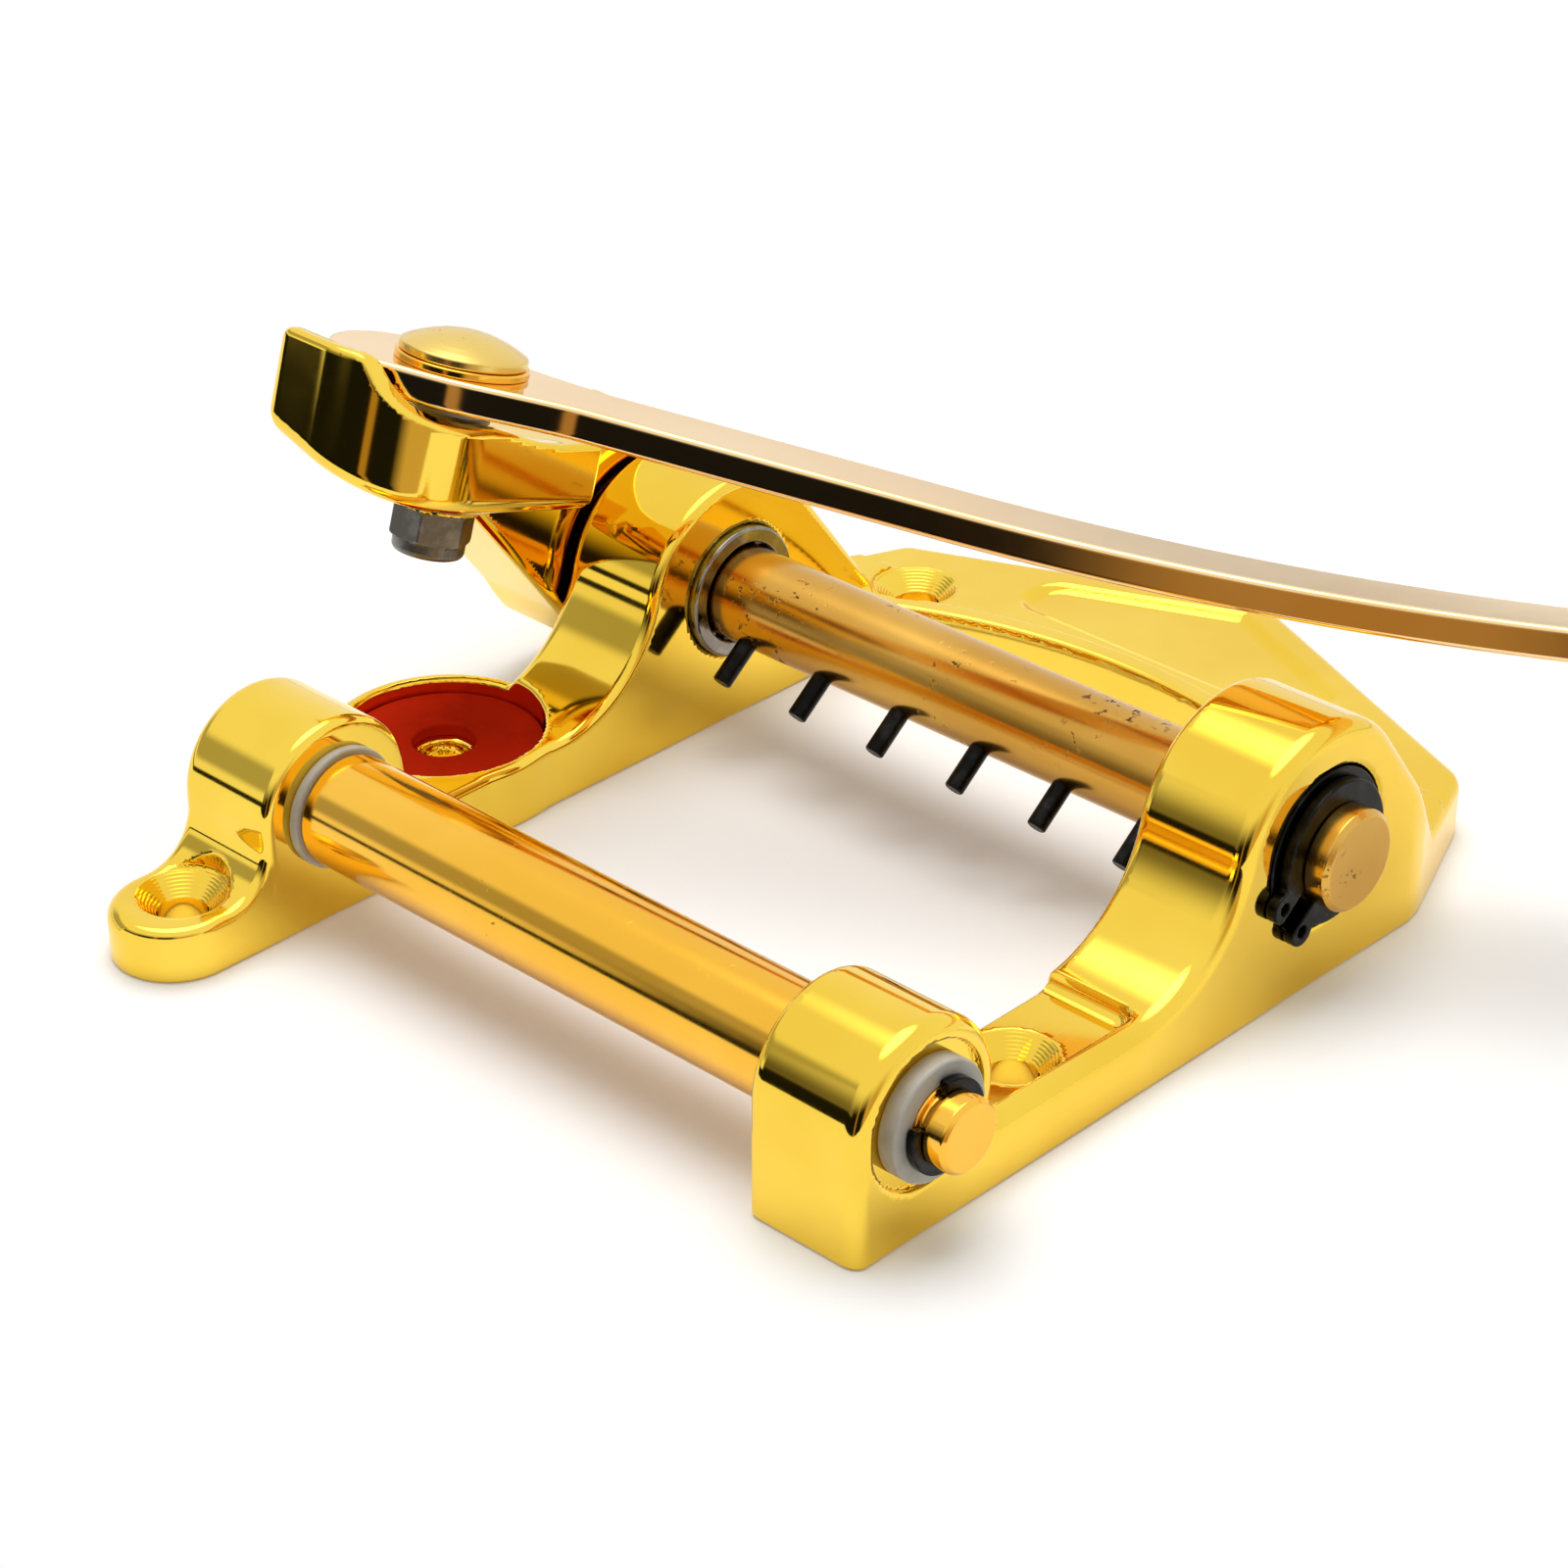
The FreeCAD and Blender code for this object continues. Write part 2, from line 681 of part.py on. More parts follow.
def make_shaft():
    """The string shaft, with its ring groove and six pin holes."""
    body = new_body("string_shaft", SHAFT_PLACE, PINS_DOWN)
    groove = D.half_width + D.ring_play
    groove_end = groove + D.ring_width
    turn(body, [
        (-HUB_END, ZERO), (SHAFT_END, ZERO),
        (SHAFT_END, D.shaft_radius - D.shaft_chamfer), (SHAFT_END - D.shaft_chamfer, D.shaft_radius),
        (groove_end, D.shaft_radius), (groove_end, RING_INNER), (groove, RING_INNER),
        (groove, D.shaft_radius), (-HUB_END + D.shaft_chamfer, D.shaft_radius),
        (-HUB_END, D.shaft_radius - D.shaft_chamfer),
    ])
    for index in range(COUNTS["pins"]):
        sketch = new_sketch(body, "XZ_Plane", D.shaft_radius + D.pin_proud - D.pin_length)
        draw_circle(sketch, pin_place(index), ZERO, D.pin_radius)
        pocket(body, sketch, D.pin_length)
    return body


def make_pins():
    """The six pins that hold the strings' ball ends, turned forwards and down."""
    pins = []
    for index in range(COUNTS["pins"]):
        place = (pin_place(index), -D.screw_setback, D.shaft_height)
        body = new_body(f"string_pin_{index + 1}", place, PINS_DOWN)
        sketch = new_sketch(body, "XZ_Plane", D.shaft_radius + D.pin_proud - D.pin_length)
        draw_circle(sketch, ZERO, ZERO, D.pin_radius)
        pad(body, sketch, D.pin_length)
        tip = -(D.shaft_radius + D.pin_proud).value
        chamfer_edges(body, D.pin_chamfer, lambda edge, tip=tip: near(box_of(edge).YMax, tip))
        pins.append(body)
    return pins


def make_bearing(side, name):
    """A drawn-cup needle bearing: shell, cage and rollers, one post's worth."""
    inner = INNER_FACE - D.shell_proud
    outer = inner + D.shell_length
    lip_inner = D.shaft_radius + D.shell_lip_gap

    def along(x):
        return side * x

    shell = new_body(f"{name}_bearing_shell", SHAFT_PLACE)
    wall = D.shell_wall
    points = [
        (along(inner), lip_inner), (along(inner), D.shell_radius), (along(outer), D.shell_radius),
        (along(outer), lip_inner), (along(outer - wall), lip_inner), (along(outer - wall), RACE_RADIUS),
        (along(inner + wall), RACE_RADIUS), (along(inner + wall), lip_inner),
    ]
    turn(shell, points)

    gap = D.roller_end_gap
    cage_inner = ROLLER_CIRCLE - D.cage_wall * HALF
    cage_start = inner + wall + gap * HALF * HALF
    cage_stop = outer - wall - gap * HALF * HALF
    cage = new_body(f"{name}_needle_cage", SHAFT_PLACE)
    ring(cage, along(cage_start), along(cage_stop), cage_inner, cage_inner + D.cage_wall)
    roller_start = inner + wall + gap
    roller_length = outer - wall - gap - roller_start
    window_start = roller_start - D.cage_play
    window_length = roller_length + D.cage_play * 2
    step = 360 / COUNTS["rollers"]
    sketch = new_sketch(cage, "YZ_Plane", window_start if side > 0 else -(window_start + window_length))
    for index in range(COUNTS["rollers"]):
        angle = as_size(index * step)
        draw_circle(sketch, ROLLER_CIRCLE * cosine(angle), ROLLER_CIRCLE * sine(angle),
                    ROLLER_RADIUS + D.cage_play)
    pocket(cage, sketch, window_length)

    # the rollers share one node, so they are one compound of separate rods
    rods = []
    start = roller_start if side > 0 else -(roller_start + roller_length)
    for index in range(COUNTS["rollers"]):
        angle = math.radians(index * step)
        rod = doc.addObject("Part::Cylinder", f"{name}_roller")
        rod.setExpression("Radius", ROLLER_RADIUS.formula)
        rod.setExpression("Height", roller_length.formula)
        centre = FreeCAD.Vector(start.value, ROLLER_CIRCLE.value * math.cos(angle),
                                ROLLER_CIRCLE.value * math.sin(angle))
        rod.Placement = FreeCAD.Placement(centre, FreeCAD.Rotation(FreeCAD.Vector(0, 1, 0), 90))
        rods.append(rod)
    rollers = doc.addObject("Part::Compound", f"{name}_needle_rollers")
    rollers.Label = f"{name}_needle_rollers"
    rollers.Links = rods
    rollers.Placement = FreeCAD.Placement(FreeCAD.Vector(*(size.value for size in SHAFT_PLACE)), FLAT)
    doc.recompute()
    return [shell, cage, rollers]


def make_snap_ring():
    """The black external ring on the shaft's right end, with two drilled lugs at its gap."""
    body = new_body("shaft_snap_ring", SHAFT_PLACE, PINS_DOWN)
    start = D.half_width + D.ring_play
    outer = D.shaft_radius + D.ring_wall
    sketch = new_sketch(body, "YZ_Plane", start)
    draw_circle(sketch, ZERO, ZERO, outer)
    draw_circle(sketch, ZERO, ZERO, RING_INNER)
    pad(body, sketch, D.ring_width)
    half_gap = D.ring_gap_angle * HALF
    lug_circle = outer + D.ring_lug_radius * HALF
    lug_y = -lug_circle * cosine(half_gap)
    lug_z = lug_circle * sine(half_gap)
    for side in (1, -1):
        sketch = new_sketch(body, "YZ_Plane", start)
        draw_circle(sketch, lug_y, side * lug_z, D.ring_lug_radius)
        pad(body, sketch, D.ring_width)
    mouth = lug_z - D.ring_lug_radius * HALF
    reach = outer + D.ring_lug_radius * 2
    sketch = new_sketch(body, "YZ_Plane", start)
    draw_outline(sketch, [(-reach, -mouth), (ZERO, -mouth), (ZERO, mouth), (-reach, mouth)])
    pocket(body, sketch, D.ring_width)
    for side in (1, -1):
        sketch = new_sketch(body, "YZ_Plane", start)
        draw_circle(sketch, lug_y, side * lug_z, D.ring_lug_hole_radius)
        pocket(body, sketch, D.ring_width)
    return body


def make_shaft_washers():
    """The dark shim behind the snap ring and the thrust washer behind the bracket's hub."""
    shim = new_body("shaft_shim", SHAFT_PLACE)
    floor = D.half_width - D.counterbore_depth
    ring(shim, floor, D.half_width, D.shaft_radius + D.washer_play, D.shim_radius)
    thrust = new_body("shaft_thrust_washer", SHAFT_PLACE)
    ring(thrust, -HUB_FACE, -HUB_FACE + D.thrust_thickness, D.shaft_radius + D.washer_play, D.thrust_radius)
    return [shim, thrust]


def make_bar():
    """The tension bar, with narrower ends that turn in the bushes."""
    body = new_body("tension_bar", BAR_PLACE)
    shoulder = INNER_FACE - D.bush_flange - D.washer_play
    groove = D.half_width + D.bush_outer_flange - D.bush_recess_depth + D.ring_play
    groove_end = groove + D.clip_width
    half = [
        (shoulder, D.bar_radius), (shoulder, D.bar_end_radius), (groove, D.bar_end_radius),
        (groove, CLIP_INNER), (groove_end, CLIP_INNER), (groove_end, D.bar_end_radius),
        (BAR_END - D.bar_chamfer, D.bar_end_radius), (BAR_END, D.bar_end_radius - D.bar_chamfer),
    ]
    mirrored = [(-x, radius) for x, radius in half[::-1]]
    turn(body, half + [(BAR_END, ZERO), (-BAR_END, ZERO)] + mirrored)
    clips = []
    for side, name in ((1, "right"), (-1, "left")):
        clip = new_body(f"{name}_bar_clip", BAR_PLACE)
        sketch = new_sketch(clip, "YZ_Plane", groove if side > 0 else -groove_end)
        outer = D.bar_end_radius + D.clip_wall
        draw_circle(sketch, ZERO, ZERO, outer)
        draw_circle(sketch, ZERO, ZERO, CLIP_INNER)
        pad(clip, sketch, D.clip_width)
        mouth = D.clip_mouth_angle * HALF
        sketch = new_sketch(clip, "YZ_Plane", groove if side > 0 else -groove_end)
        wide = (outer + D.overrun) * sine(mouth) / cosine(mouth)
        draw_outline(sketch, [(ZERO, ZERO), (outer + D.overrun, -wide), (outer + D.overrun, wide)])
        pocket(clip, sketch, D.clip_width)
        clips.append(clip)
    return [body] + clips


def make_bushes():
    """The white nylon bushes: an inner and an outer one in each front boss."""
    bushes = []
    bore = D.bar_end_radius + D.bush_play
    middle = (INNER_FACE + D.half_width) * HALF
    for side, name in ((1, "right"), (-1, "left")):
        inner = new_body(f"{name}_inner_bush", BAR_PLACE)
        face = INNER_FACE - D.bush_flange
        stop = middle - D.bush_middle_gap * HALF
        turn(inner, [
            (side * face, bore), (side * stop, bore), (side * stop, D.bush_radius),
            (side * INNER_FACE, D.bush_radius), (side * INNER_FACE, D.bush_flange_radius),
            (side * face, D.bush_flange_radius),
        ])
        outer = new_body(f"{name}_outer_bush", BAR_PLACE)
        start = middle + D.bush_middle_gap * HALF
        seat = D.half_width - D.bush_recess_depth
        end = seat + D.bush_outer_flange
        turn(outer, [
            (side * start, bore), (side * end, bore), (side * end, D.bush_flange_radius),
            (side * seat, D.bush_flange_radius), (side * seat, D.bush_radius),
            (side * start, D.bush_radius),
        ])
        bushes += [inner, outer]
    return bushes


def make_bracket():
    """The arm's bracket: a hub on the shaft, a plate over the spring seat and a stop lug in front."""
    body = new_body("arm_bracket", SHAFT_PLACE, TIPPED)
    sketch = new_sketch(body, "YZ_Plane", -HUB_END)
    draw_circle(sketch, ZERO, ZERO, D.hub_radius)
    pad(body, sketch, D.hub_length)

    left = -HUB_END
    right = -BRACKET_SIDE
    front = -D.bracket_front
    sketch = new_sketch(body, "XY_Plane", BRACKET_FLOOR)
    draw_outline(sketch, [
        (left, ZERO), (left, front + D.bracket_corner), (left + D.bracket_corner, front),
        (right - D.bracket_sweep, front), (right, front + D.bracket_sweep),
        (right, -D.bracket_step), (-HUB_FACE, -D.bracket_step), (-HUB_FACE, ZERO),
    ], {1: (D.bracket_corner, 1), 3: (D.bracket_sweep, 1)})
    pad(body, sketch, D.bracket_thickness)

    # the underside rises towards the left
    keel = BRACKET_FLOOR + D.bracket_rise
    sketch = new_sketch(body, "XZ_Plane", D.bracket_step)
    draw_outline(sketch, [
        (left - D.overrun, BRACKET_FLOOR - D.overrun), (right, BRACKET_FLOOR - D.overrun),
        (right, BRACKET_FLOOR), (left, keel), (left - D.overrun, keel),
    ])
    pocket(body, sketch, D.bracket_front - D.bracket_step + D.overrun)

    def plate_rim(edge):
        """A test for the underside's edges along the front and the swept corner."""
        for end in edge.Vertexes:
            share = (right.value - end.X) / (right.value - left.value)
            if not near(end.Z, BRACKET_FLOOR.value + share * D.bracket_rise.value):
                return False
        return box_of(edge).YMin < front.value + D.bracket_sweep.value * HALF

    round_edges(body, D.bracket_edge_round, plate_rim)

    # stop lug along the front edge, which sweeps down into a lip round the corner and along the side
    top = D.bracket_seat + D.lug_height
    wall = D.lug_thickness
    sketch = new_sketch(body, "XY_Plane", D.bracket_seat - wall)
    draw_outline(sketch, [
        (left, front + D.bracket_corner), (left + D.bracket_corner, front),
        (right - D.bracket_sweep, front), (right, front + D.bracket_sweep), (right, -D.bracket_step),
        (right - wall, -D.bracket_step), (right - wall, front + D.bracket_sweep),
        (right - D.bracket_sweep, front + wall), (left + D.bracket_corner, front + wall),
        (left + wall, front + D.bracket_corner),
    ], {
        0: (D.bracket_corner, 1), 2: (D.bracket_sweep, 1),
        6: (D.bracket_sweep - wall, -1), 8: (D.bracket_corner - wall, -1),
    })
    pad(body, sketch, D.lug_height + wall)
    lug_end = left + D.lug_length
    sketch = new_sketch(body, "XZ_Plane", D.bracket_step - D.overrun)
    draw_outline(sketch, [
        (lug_end, top), (lug_end + D.lug_slope, D.bracket_seat + D.lip_height),
        (right, D.bracket_seat + D.lip_end_height), (right + D.overrun, D.bracket_seat + D.lip_end_height),
        (right + D.overrun, top + D.overrun), (lug_end, top + D.overrun),
    ])
    pocket(body, sketch, D.bracket_front - D.bracket_step + D.overrun * 2)
    sketch = new_sketch(body, "YZ_Plane", right - wall - D.overrun)
    draw_outline(sketch, [
        (-D.lip_taper_start, D.bracket_seat + D.lip_height), (-D.lip_taper_end, D.bracket_seat),
        (-D.bracket_step + D.overrun, D.bracket_seat), (-D.bracket_step + D.overrun, top),
        (-D.lip_taper_start, top),
    ])
    pocket(body, sketch, wall + D.overrun * 2)

    # gusset from the hub's underside to the plate, and a flat seat for the nut
    reach = D.hub_radius + D.gusset_reach
    sketch = new_sketch(body, "YZ_Plane", left)
    draw_outline(sketch, [
        (ZERO, -D.hub_radius), (ZERO, keel), (-reach, keel), (-reach, BRACKET_FLOOR),
    ])
    pad(body, sketch, D.gusset_width)
    sketch = new_sketch(body, "XY_Plane", BRACKET_FLOOR)
    nut_corner = D.nut_across_flats * HALF / cosine(as_size(30))
    draw_circle(sketch, BOLT_X, -D.bolt_setback, nut_corner + D.nut_seat_margin)
    pad(body, sketch, D.bracket_thickness)

    sketch = new_sketch(body, "YZ_Plane", -HUB_END - D.overrun)
    draw_circle(sketch, ZERO, ZERO, D.shaft_radius)
    pocket(body, sketch, D.hub_length + D.overrun * 2)
    sketch = new_sketch(body, "XY_Plane", BRACKET_FLOOR - D.overrun)
    draw_circle(sketch, BOLT_X, -D.bolt_setback, D.bolt_radius)
    pocket(body, sketch, D.bracket_thickness + D.overrun * 2)
    sketch = new_sketch(body, "XY_Plane")
    draw_circle(sketch, -(HUB_FACE + HUB_END) * HALF, ZERO, D.set_screw_radius)
    pocket(body, sketch, D.bracket_seat + D.overrun)
    return body


def make_set_screw():
    """The socket screw that locks the hub to the shaft."""
    offset = -(HUB_FACE + HUB_END) * HALF
    place = (offset, -D.screw_setback, D.shaft_height)
    body = new_body("bracket_set_screw", place, TIPPED)
    top = D.shaft_radius + D.set_screw_length
    socket = top - D.set_screw_socket_depth
    turn(body, [
        (ZERO, D.shaft_radius), (D.set_screw_radius, D.shaft_radius), (D.set_screw_radius, top),
        (D.set_screw_socket_radius, top), (D.set_screw_socket_radius, socket), (ZERO, socket),
    ], "V_Axis")
    return body


def make_bolt():
    """The arm's button-headed bolt and its nut with a locking collar."""
    bolt = new_body("arm_bolt", BOLT_PLACE, TIPPED)
    rim = ARM_TOP + D.head_washer_thickness
    nut_height = D.nut_hex_height + D.nut_collar_height
    tip = BRACKET_FLOOR - nut_height - D.bolt_tail
    crown = rim + D.bolt_head_height
    dome = D.bolt_head_height - D.bolt_head_rim
    dome_radius = (D.bolt_head_radius * D.bolt_head_radius + dome * dome) / (dome * 2)
    turn(bolt, [
        (ZERO, tip), (D.bolt_radius, tip), (D.bolt_radius, rim), (D.bolt_head_radius, rim),
        (D.bolt_head_radius, rim + D.bolt_head_rim), (ZERO, crown),
    ], "V_Axis", {4: (dome_radius, 1)})

    nut = new_body("arm_nut", BOLT_PLACE, TIPPED)
    sketch = new_sketch(nut, "XY_Plane", BRACKET_FLOOR - D.nut_hex_height)
    across = D.nut_across_flats * HALF
    corner = across / cosine(as_size(30))
    hexagon = [(corner * cosine(as_size(60 * k)), corner * sine(as_size(60 * k))) for k in range(6)]
    draw_outline(sketch, hexagon)
    pad(nut, sketch, D.nut_hex_height)
    sketch = new_sketch(nut, "XY_Plane", BRACKET_FLOOR - nut_height)
    draw_circle(sketch, ZERO, ZERO, D.nut_collar_radius)
    pad(nut, sketch, D.nut_collar_height)
    sketch = new_sketch(nut, "XY_Plane", BRACKET_FLOOR - nut_height)
    draw_circle(sketch, ZERO, ZERO, D.bolt_radius)
    pocket(nut, sketch, nut_height)
    return [bolt, nut]


def make_washers():
    """The stack under the arm and the washer under the bolt's head."""
    hole = D.bolt_radius + D.bolt_play
    cone = new_body("arm_spring_washer", BOLT_PLACE, TIPPED)
    rise = D.spring_washer_thickness
    seat = D.bracket_seat
    turn(cone, [
        (hole, seat + rise), (D.spring_washer_radius, seat),
        (D.spring_washer_radius, seat + rise), (hole, seat + rise * 2),
    ], "V_Axis")
    flat = new_body("arm_flat_washer", BOLT_PLACE, TIPPED)
    floor = seat + rise * 2
    washer(flat, floor, D.flat_washer_thickness, hole, D.flat_washer_radius)
    glide = new_body("arm_glide_washer", BOLT_PLACE, TIPPED)
    floor = floor + D.flat_washer_thickness
    washer(glide, floor, D.glide_washer_thickness, hole, D.glide_washer_radius)
    head = new_body("arm_head_washer", BOLT_PLACE, TIPPED)
    washer(head, ARM_TOP, D.head_washer_thickness, hole, D.head_washer_radius)
    return [cone, flat, glide, head]


def make_arm():
    """The flat arm: a wide rounded end round the bolt, a straight blade and an upward bend."""
    swung = TIPPED.multiply(FreeCAD.Rotation(FreeCAD.Vector(0, 0, 1), D.arm_angle.value))
    body = new_body("tremolo_arm", BOLT_PLACE, swung)
    tail = -D.arm_tail - D.arm_end_half_width
    top_radius = D.arm_bend_radius - D.arm_thickness
    rise = as_size(1) - cosine(D.arm_bend_angle)
    bend_x = D.arm_straight + D.arm_bend_radius * sine(D.arm_bend_angle)
    bend_z = ARM_FLOOR + D.arm_bend_radius * rise
    tip_x = bend_x + D.arm_reach * cosine(D.arm_bend_angle)
    tip_z = bend_z + D.arm_reach * sine(D.arm_bend_angle)
    lean_x = D.arm_thickness * sine(D.arm_bend_angle)
    lean_z = D.arm_thickness * cosine(D.arm_bend_angle)
    sketch = new_sketch(body, "XZ_Plane")
    draw_outline(sketch, [
        (tail, ARM_FLOOR), (D.arm_straight, ARM_FLOOR), (bend_x, bend_z), (tip_x, tip_z),
        (tip_x - lean_x, tip_z + lean_z), (bend_x - lean_x, bend_z + lean_z),
        (D.arm_straight, ARM_TOP), (tail, ARM_TOP),
    ], {1: (D.arm_bend_radius, 1), 5: (top_radius, -1)})
    pad(body, sketch, D.arm_end_half_width * 2, midplane=True)

    # the blade's outline, cut from a wider strip
    wide = D.arm_end_half_width
    narrow = D.arm_half_width
    end_x = tip_x - lean_x - narrow
    step = wide - narrow
    neck_radius = (D.arm_neck * D.arm_neck + step * step) / (step * 4)
    half_x = D.arm_neck * HALF
    half_y = narrow + step * HALF
    frame = D.overrun + wide
    far = tip_x + frame
    sketch = new_sketch(body, "XY_Plane", ARM_FLOOR - D.overrun)
    draw_outline(sketch, [
        (tail - frame, -frame), (far, -frame), (far, frame), (tail - frame, frame),
    ])
    draw_outline(sketch, [
        (tail, ZERO), (-D.arm_tail, -wide), (ZERO, -wide), (half_x, -half_y), (D.arm_neck, -narrow),
        (end_x, -narrow), (end_x + narrow, ZERO), (end_x, narrow),
        (D.arm_neck, narrow), (half_x, half_y), (ZERO, wide), (-D.arm_tail, wide),
    ], {
        0: (wide, 1), 2: (neck_radius, 1), 3: (neck_radius, -1), 5: (narrow, 1), 6: (narrow, 1),
        8: (neck_radius, -1), 9: (neck_radius, 1), 11: (wide, 1),
    })
    pocket(body, sketch, tip_z - ARM_FLOOR + D.arm_thickness + D.overrun * 2)
    round_edges(body, D.arm_edge_round, lambda edge: edge.Length > D.arm_straight.value * HALF)
    sketch = new_sketch(body, "XY_Plane", ARM_FLOOR - D.overrun)
    draw_circle(sketch, ZERO, ZERO, D.bolt_radius + D.bolt_play)
    pocket(body, sketch, D.arm_thickness + D.overrun * 2)
    return body


pieces = [make_frame(), make_spring_seat(), make_shaft(), *make_pins()]
pieces += make_bearing(1, "right") + make_bearing(-1, "left")
pieces += [make_snap_ring(), *make_shaft_washers(), *make_bar(), *make_bushes()]
pieces += [make_bracket(), make_set_screw(), *make_bolt(), *make_washers(), make_arm()]
doc.recompute()

failed = [item.Label for item in doc.Objects if {"Invalid", "Error"} & set(item.State)]
failed += [piece.Label for piece in pieces if piece.Shape.isNull() or not piece.Shape.isValid()]
if failed:
    raise RuntimeError(f"failed: {sorted(set(failed))}")

os.makedirs("parts", exist_ok=True)
for piece in pieces:
    piece.Shape.exportStep(f"parts/{piece.Label}.step")
    box = piece.Shape.BoundBox
    ends = [(getattr(box, axis + "Min"), getattr(box, axis + "Max")) for axis in "XYZ"]
    spans = ", ".join(f"{low:.1f} to {high:.1f}" for low, high in ends)
    print(f"{piece.Label}: {len(piece.Shape.Solids)} solid, {piece.Shape.Volume:.1f} mm3, {spans}")
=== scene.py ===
"""A gold guitar tremolo bridge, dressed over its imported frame."""
import logging
import math
from abc import ABC, abstractmethod
from dataclasses import dataclass
from enum import Enum
from typing import Any, Callable, Sequence

import bpy
import numpy as np
from mathutils import Matrix, Vector


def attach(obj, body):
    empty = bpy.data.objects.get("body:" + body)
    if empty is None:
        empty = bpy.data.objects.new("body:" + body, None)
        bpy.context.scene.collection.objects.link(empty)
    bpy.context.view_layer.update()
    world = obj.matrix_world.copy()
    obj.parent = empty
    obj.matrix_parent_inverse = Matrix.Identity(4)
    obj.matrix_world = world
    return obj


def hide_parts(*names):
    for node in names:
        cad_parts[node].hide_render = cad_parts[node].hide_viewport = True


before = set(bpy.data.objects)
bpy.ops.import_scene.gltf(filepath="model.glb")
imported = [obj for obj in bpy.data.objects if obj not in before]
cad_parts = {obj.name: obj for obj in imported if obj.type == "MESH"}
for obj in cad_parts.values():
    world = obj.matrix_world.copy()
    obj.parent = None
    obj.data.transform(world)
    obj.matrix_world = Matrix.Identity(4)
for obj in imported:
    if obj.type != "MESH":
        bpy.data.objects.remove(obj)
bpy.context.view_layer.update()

log = logging.getLogger("bridge")
MM = 0.001
Array = np.ndarray
Field = Callable[[Array, Array, Array], Array]
Span = tuple[float, float]
Triple = tuple[float, float, float]
Colour = Triple
Grid = tuple[Triple, Triple]
Outline = list[Span]

# how a net's points slide onto their level: how often, how far in steps, and the least slope squared
SLIDES = 6
SLIDE_SHARE = 0.3
LEAST_SLOPE = 0.05
# how a profile turns its corners: points in an arc, the share of a run that it may use, the least turn
ARC_POINTS = 6
RUN_SHARE = 0.45
LEAST_TURN = 1e-6
# a length that keeps quotients finite, and a blend too small to see, in mm
TINY = 1e-9
SHARP = 0.01
# points round a turned piece: a pin, most pieces and the large ones
FEW_TURNS = 48
TURNS = 96
MANY_TURNS = 128


class Body(Enum):
    """The moving bodies that pieces ride on."""

    FRAME = "frame"
    ROCKER = "rocker"
    ARM = "arm"
    BAR = "bar"


class Slot(Enum):
    """The record's material slots."""

    CASTING = "gold_casting"
    BAR = "gold_bar"
    BLACK = "black_oxide"
    BEARING = "bearing_steel"
    WASHER = "washer_steel"
    NYLON = "white_nylon"
    FIBRE = "red_fibre"


class Wire:
    """A shader socket that takes part in Python sums."""

    def __init__(self, sheet: "NodeSheet", socket: bpy.types.NodeSocket) -> None:
        """Keeps the socket and the sheet that its sums are added to."""
        self.sheet = sheet
        self.socket = socket

    def math(self, operation: str, *others: "Wire | float") -> "Wire":
        """Adds a Math node of an operation on this value and others."""
        sockets = dict(enumerate((self, *others)))
        return self.sheet.add("ShaderNodeMath", {"operation": operation}, sockets)

    def __add__(self, other: "Wire | float") -> "Wire":
        """Sum."""
        return self.math("ADD", other)

    def __mul__(self, other: "Wire | float") -> "Wire":
        """Product."""
        return self.math("MULTIPLY", other)

    def __sub__(self, other: "Wire | float") -> "Wire":
        """Difference."""
        return self.math("SUBTRACT", other)

    def __rsub__(self, other: float) -> "Wire":
        """Difference with a number first."""
        return self * -1.0 + other

    def __truediv__(self, other: "Wire | float") -> "Wire":
        """Quotient."""
        return self.math("DIVIDE", other)

    def between(self, low: float, high: float) -> "Wire":
        """A smooth step from 0 at low to 1 at high."""
        sockets = {0: self, 1: low, 2: high, 3: 0.0, 4: 1.0}
        return self.sheet.add("ShaderNodeMapRange", {"interpolation_type": "SMOOTHSTEP"}, sockets)


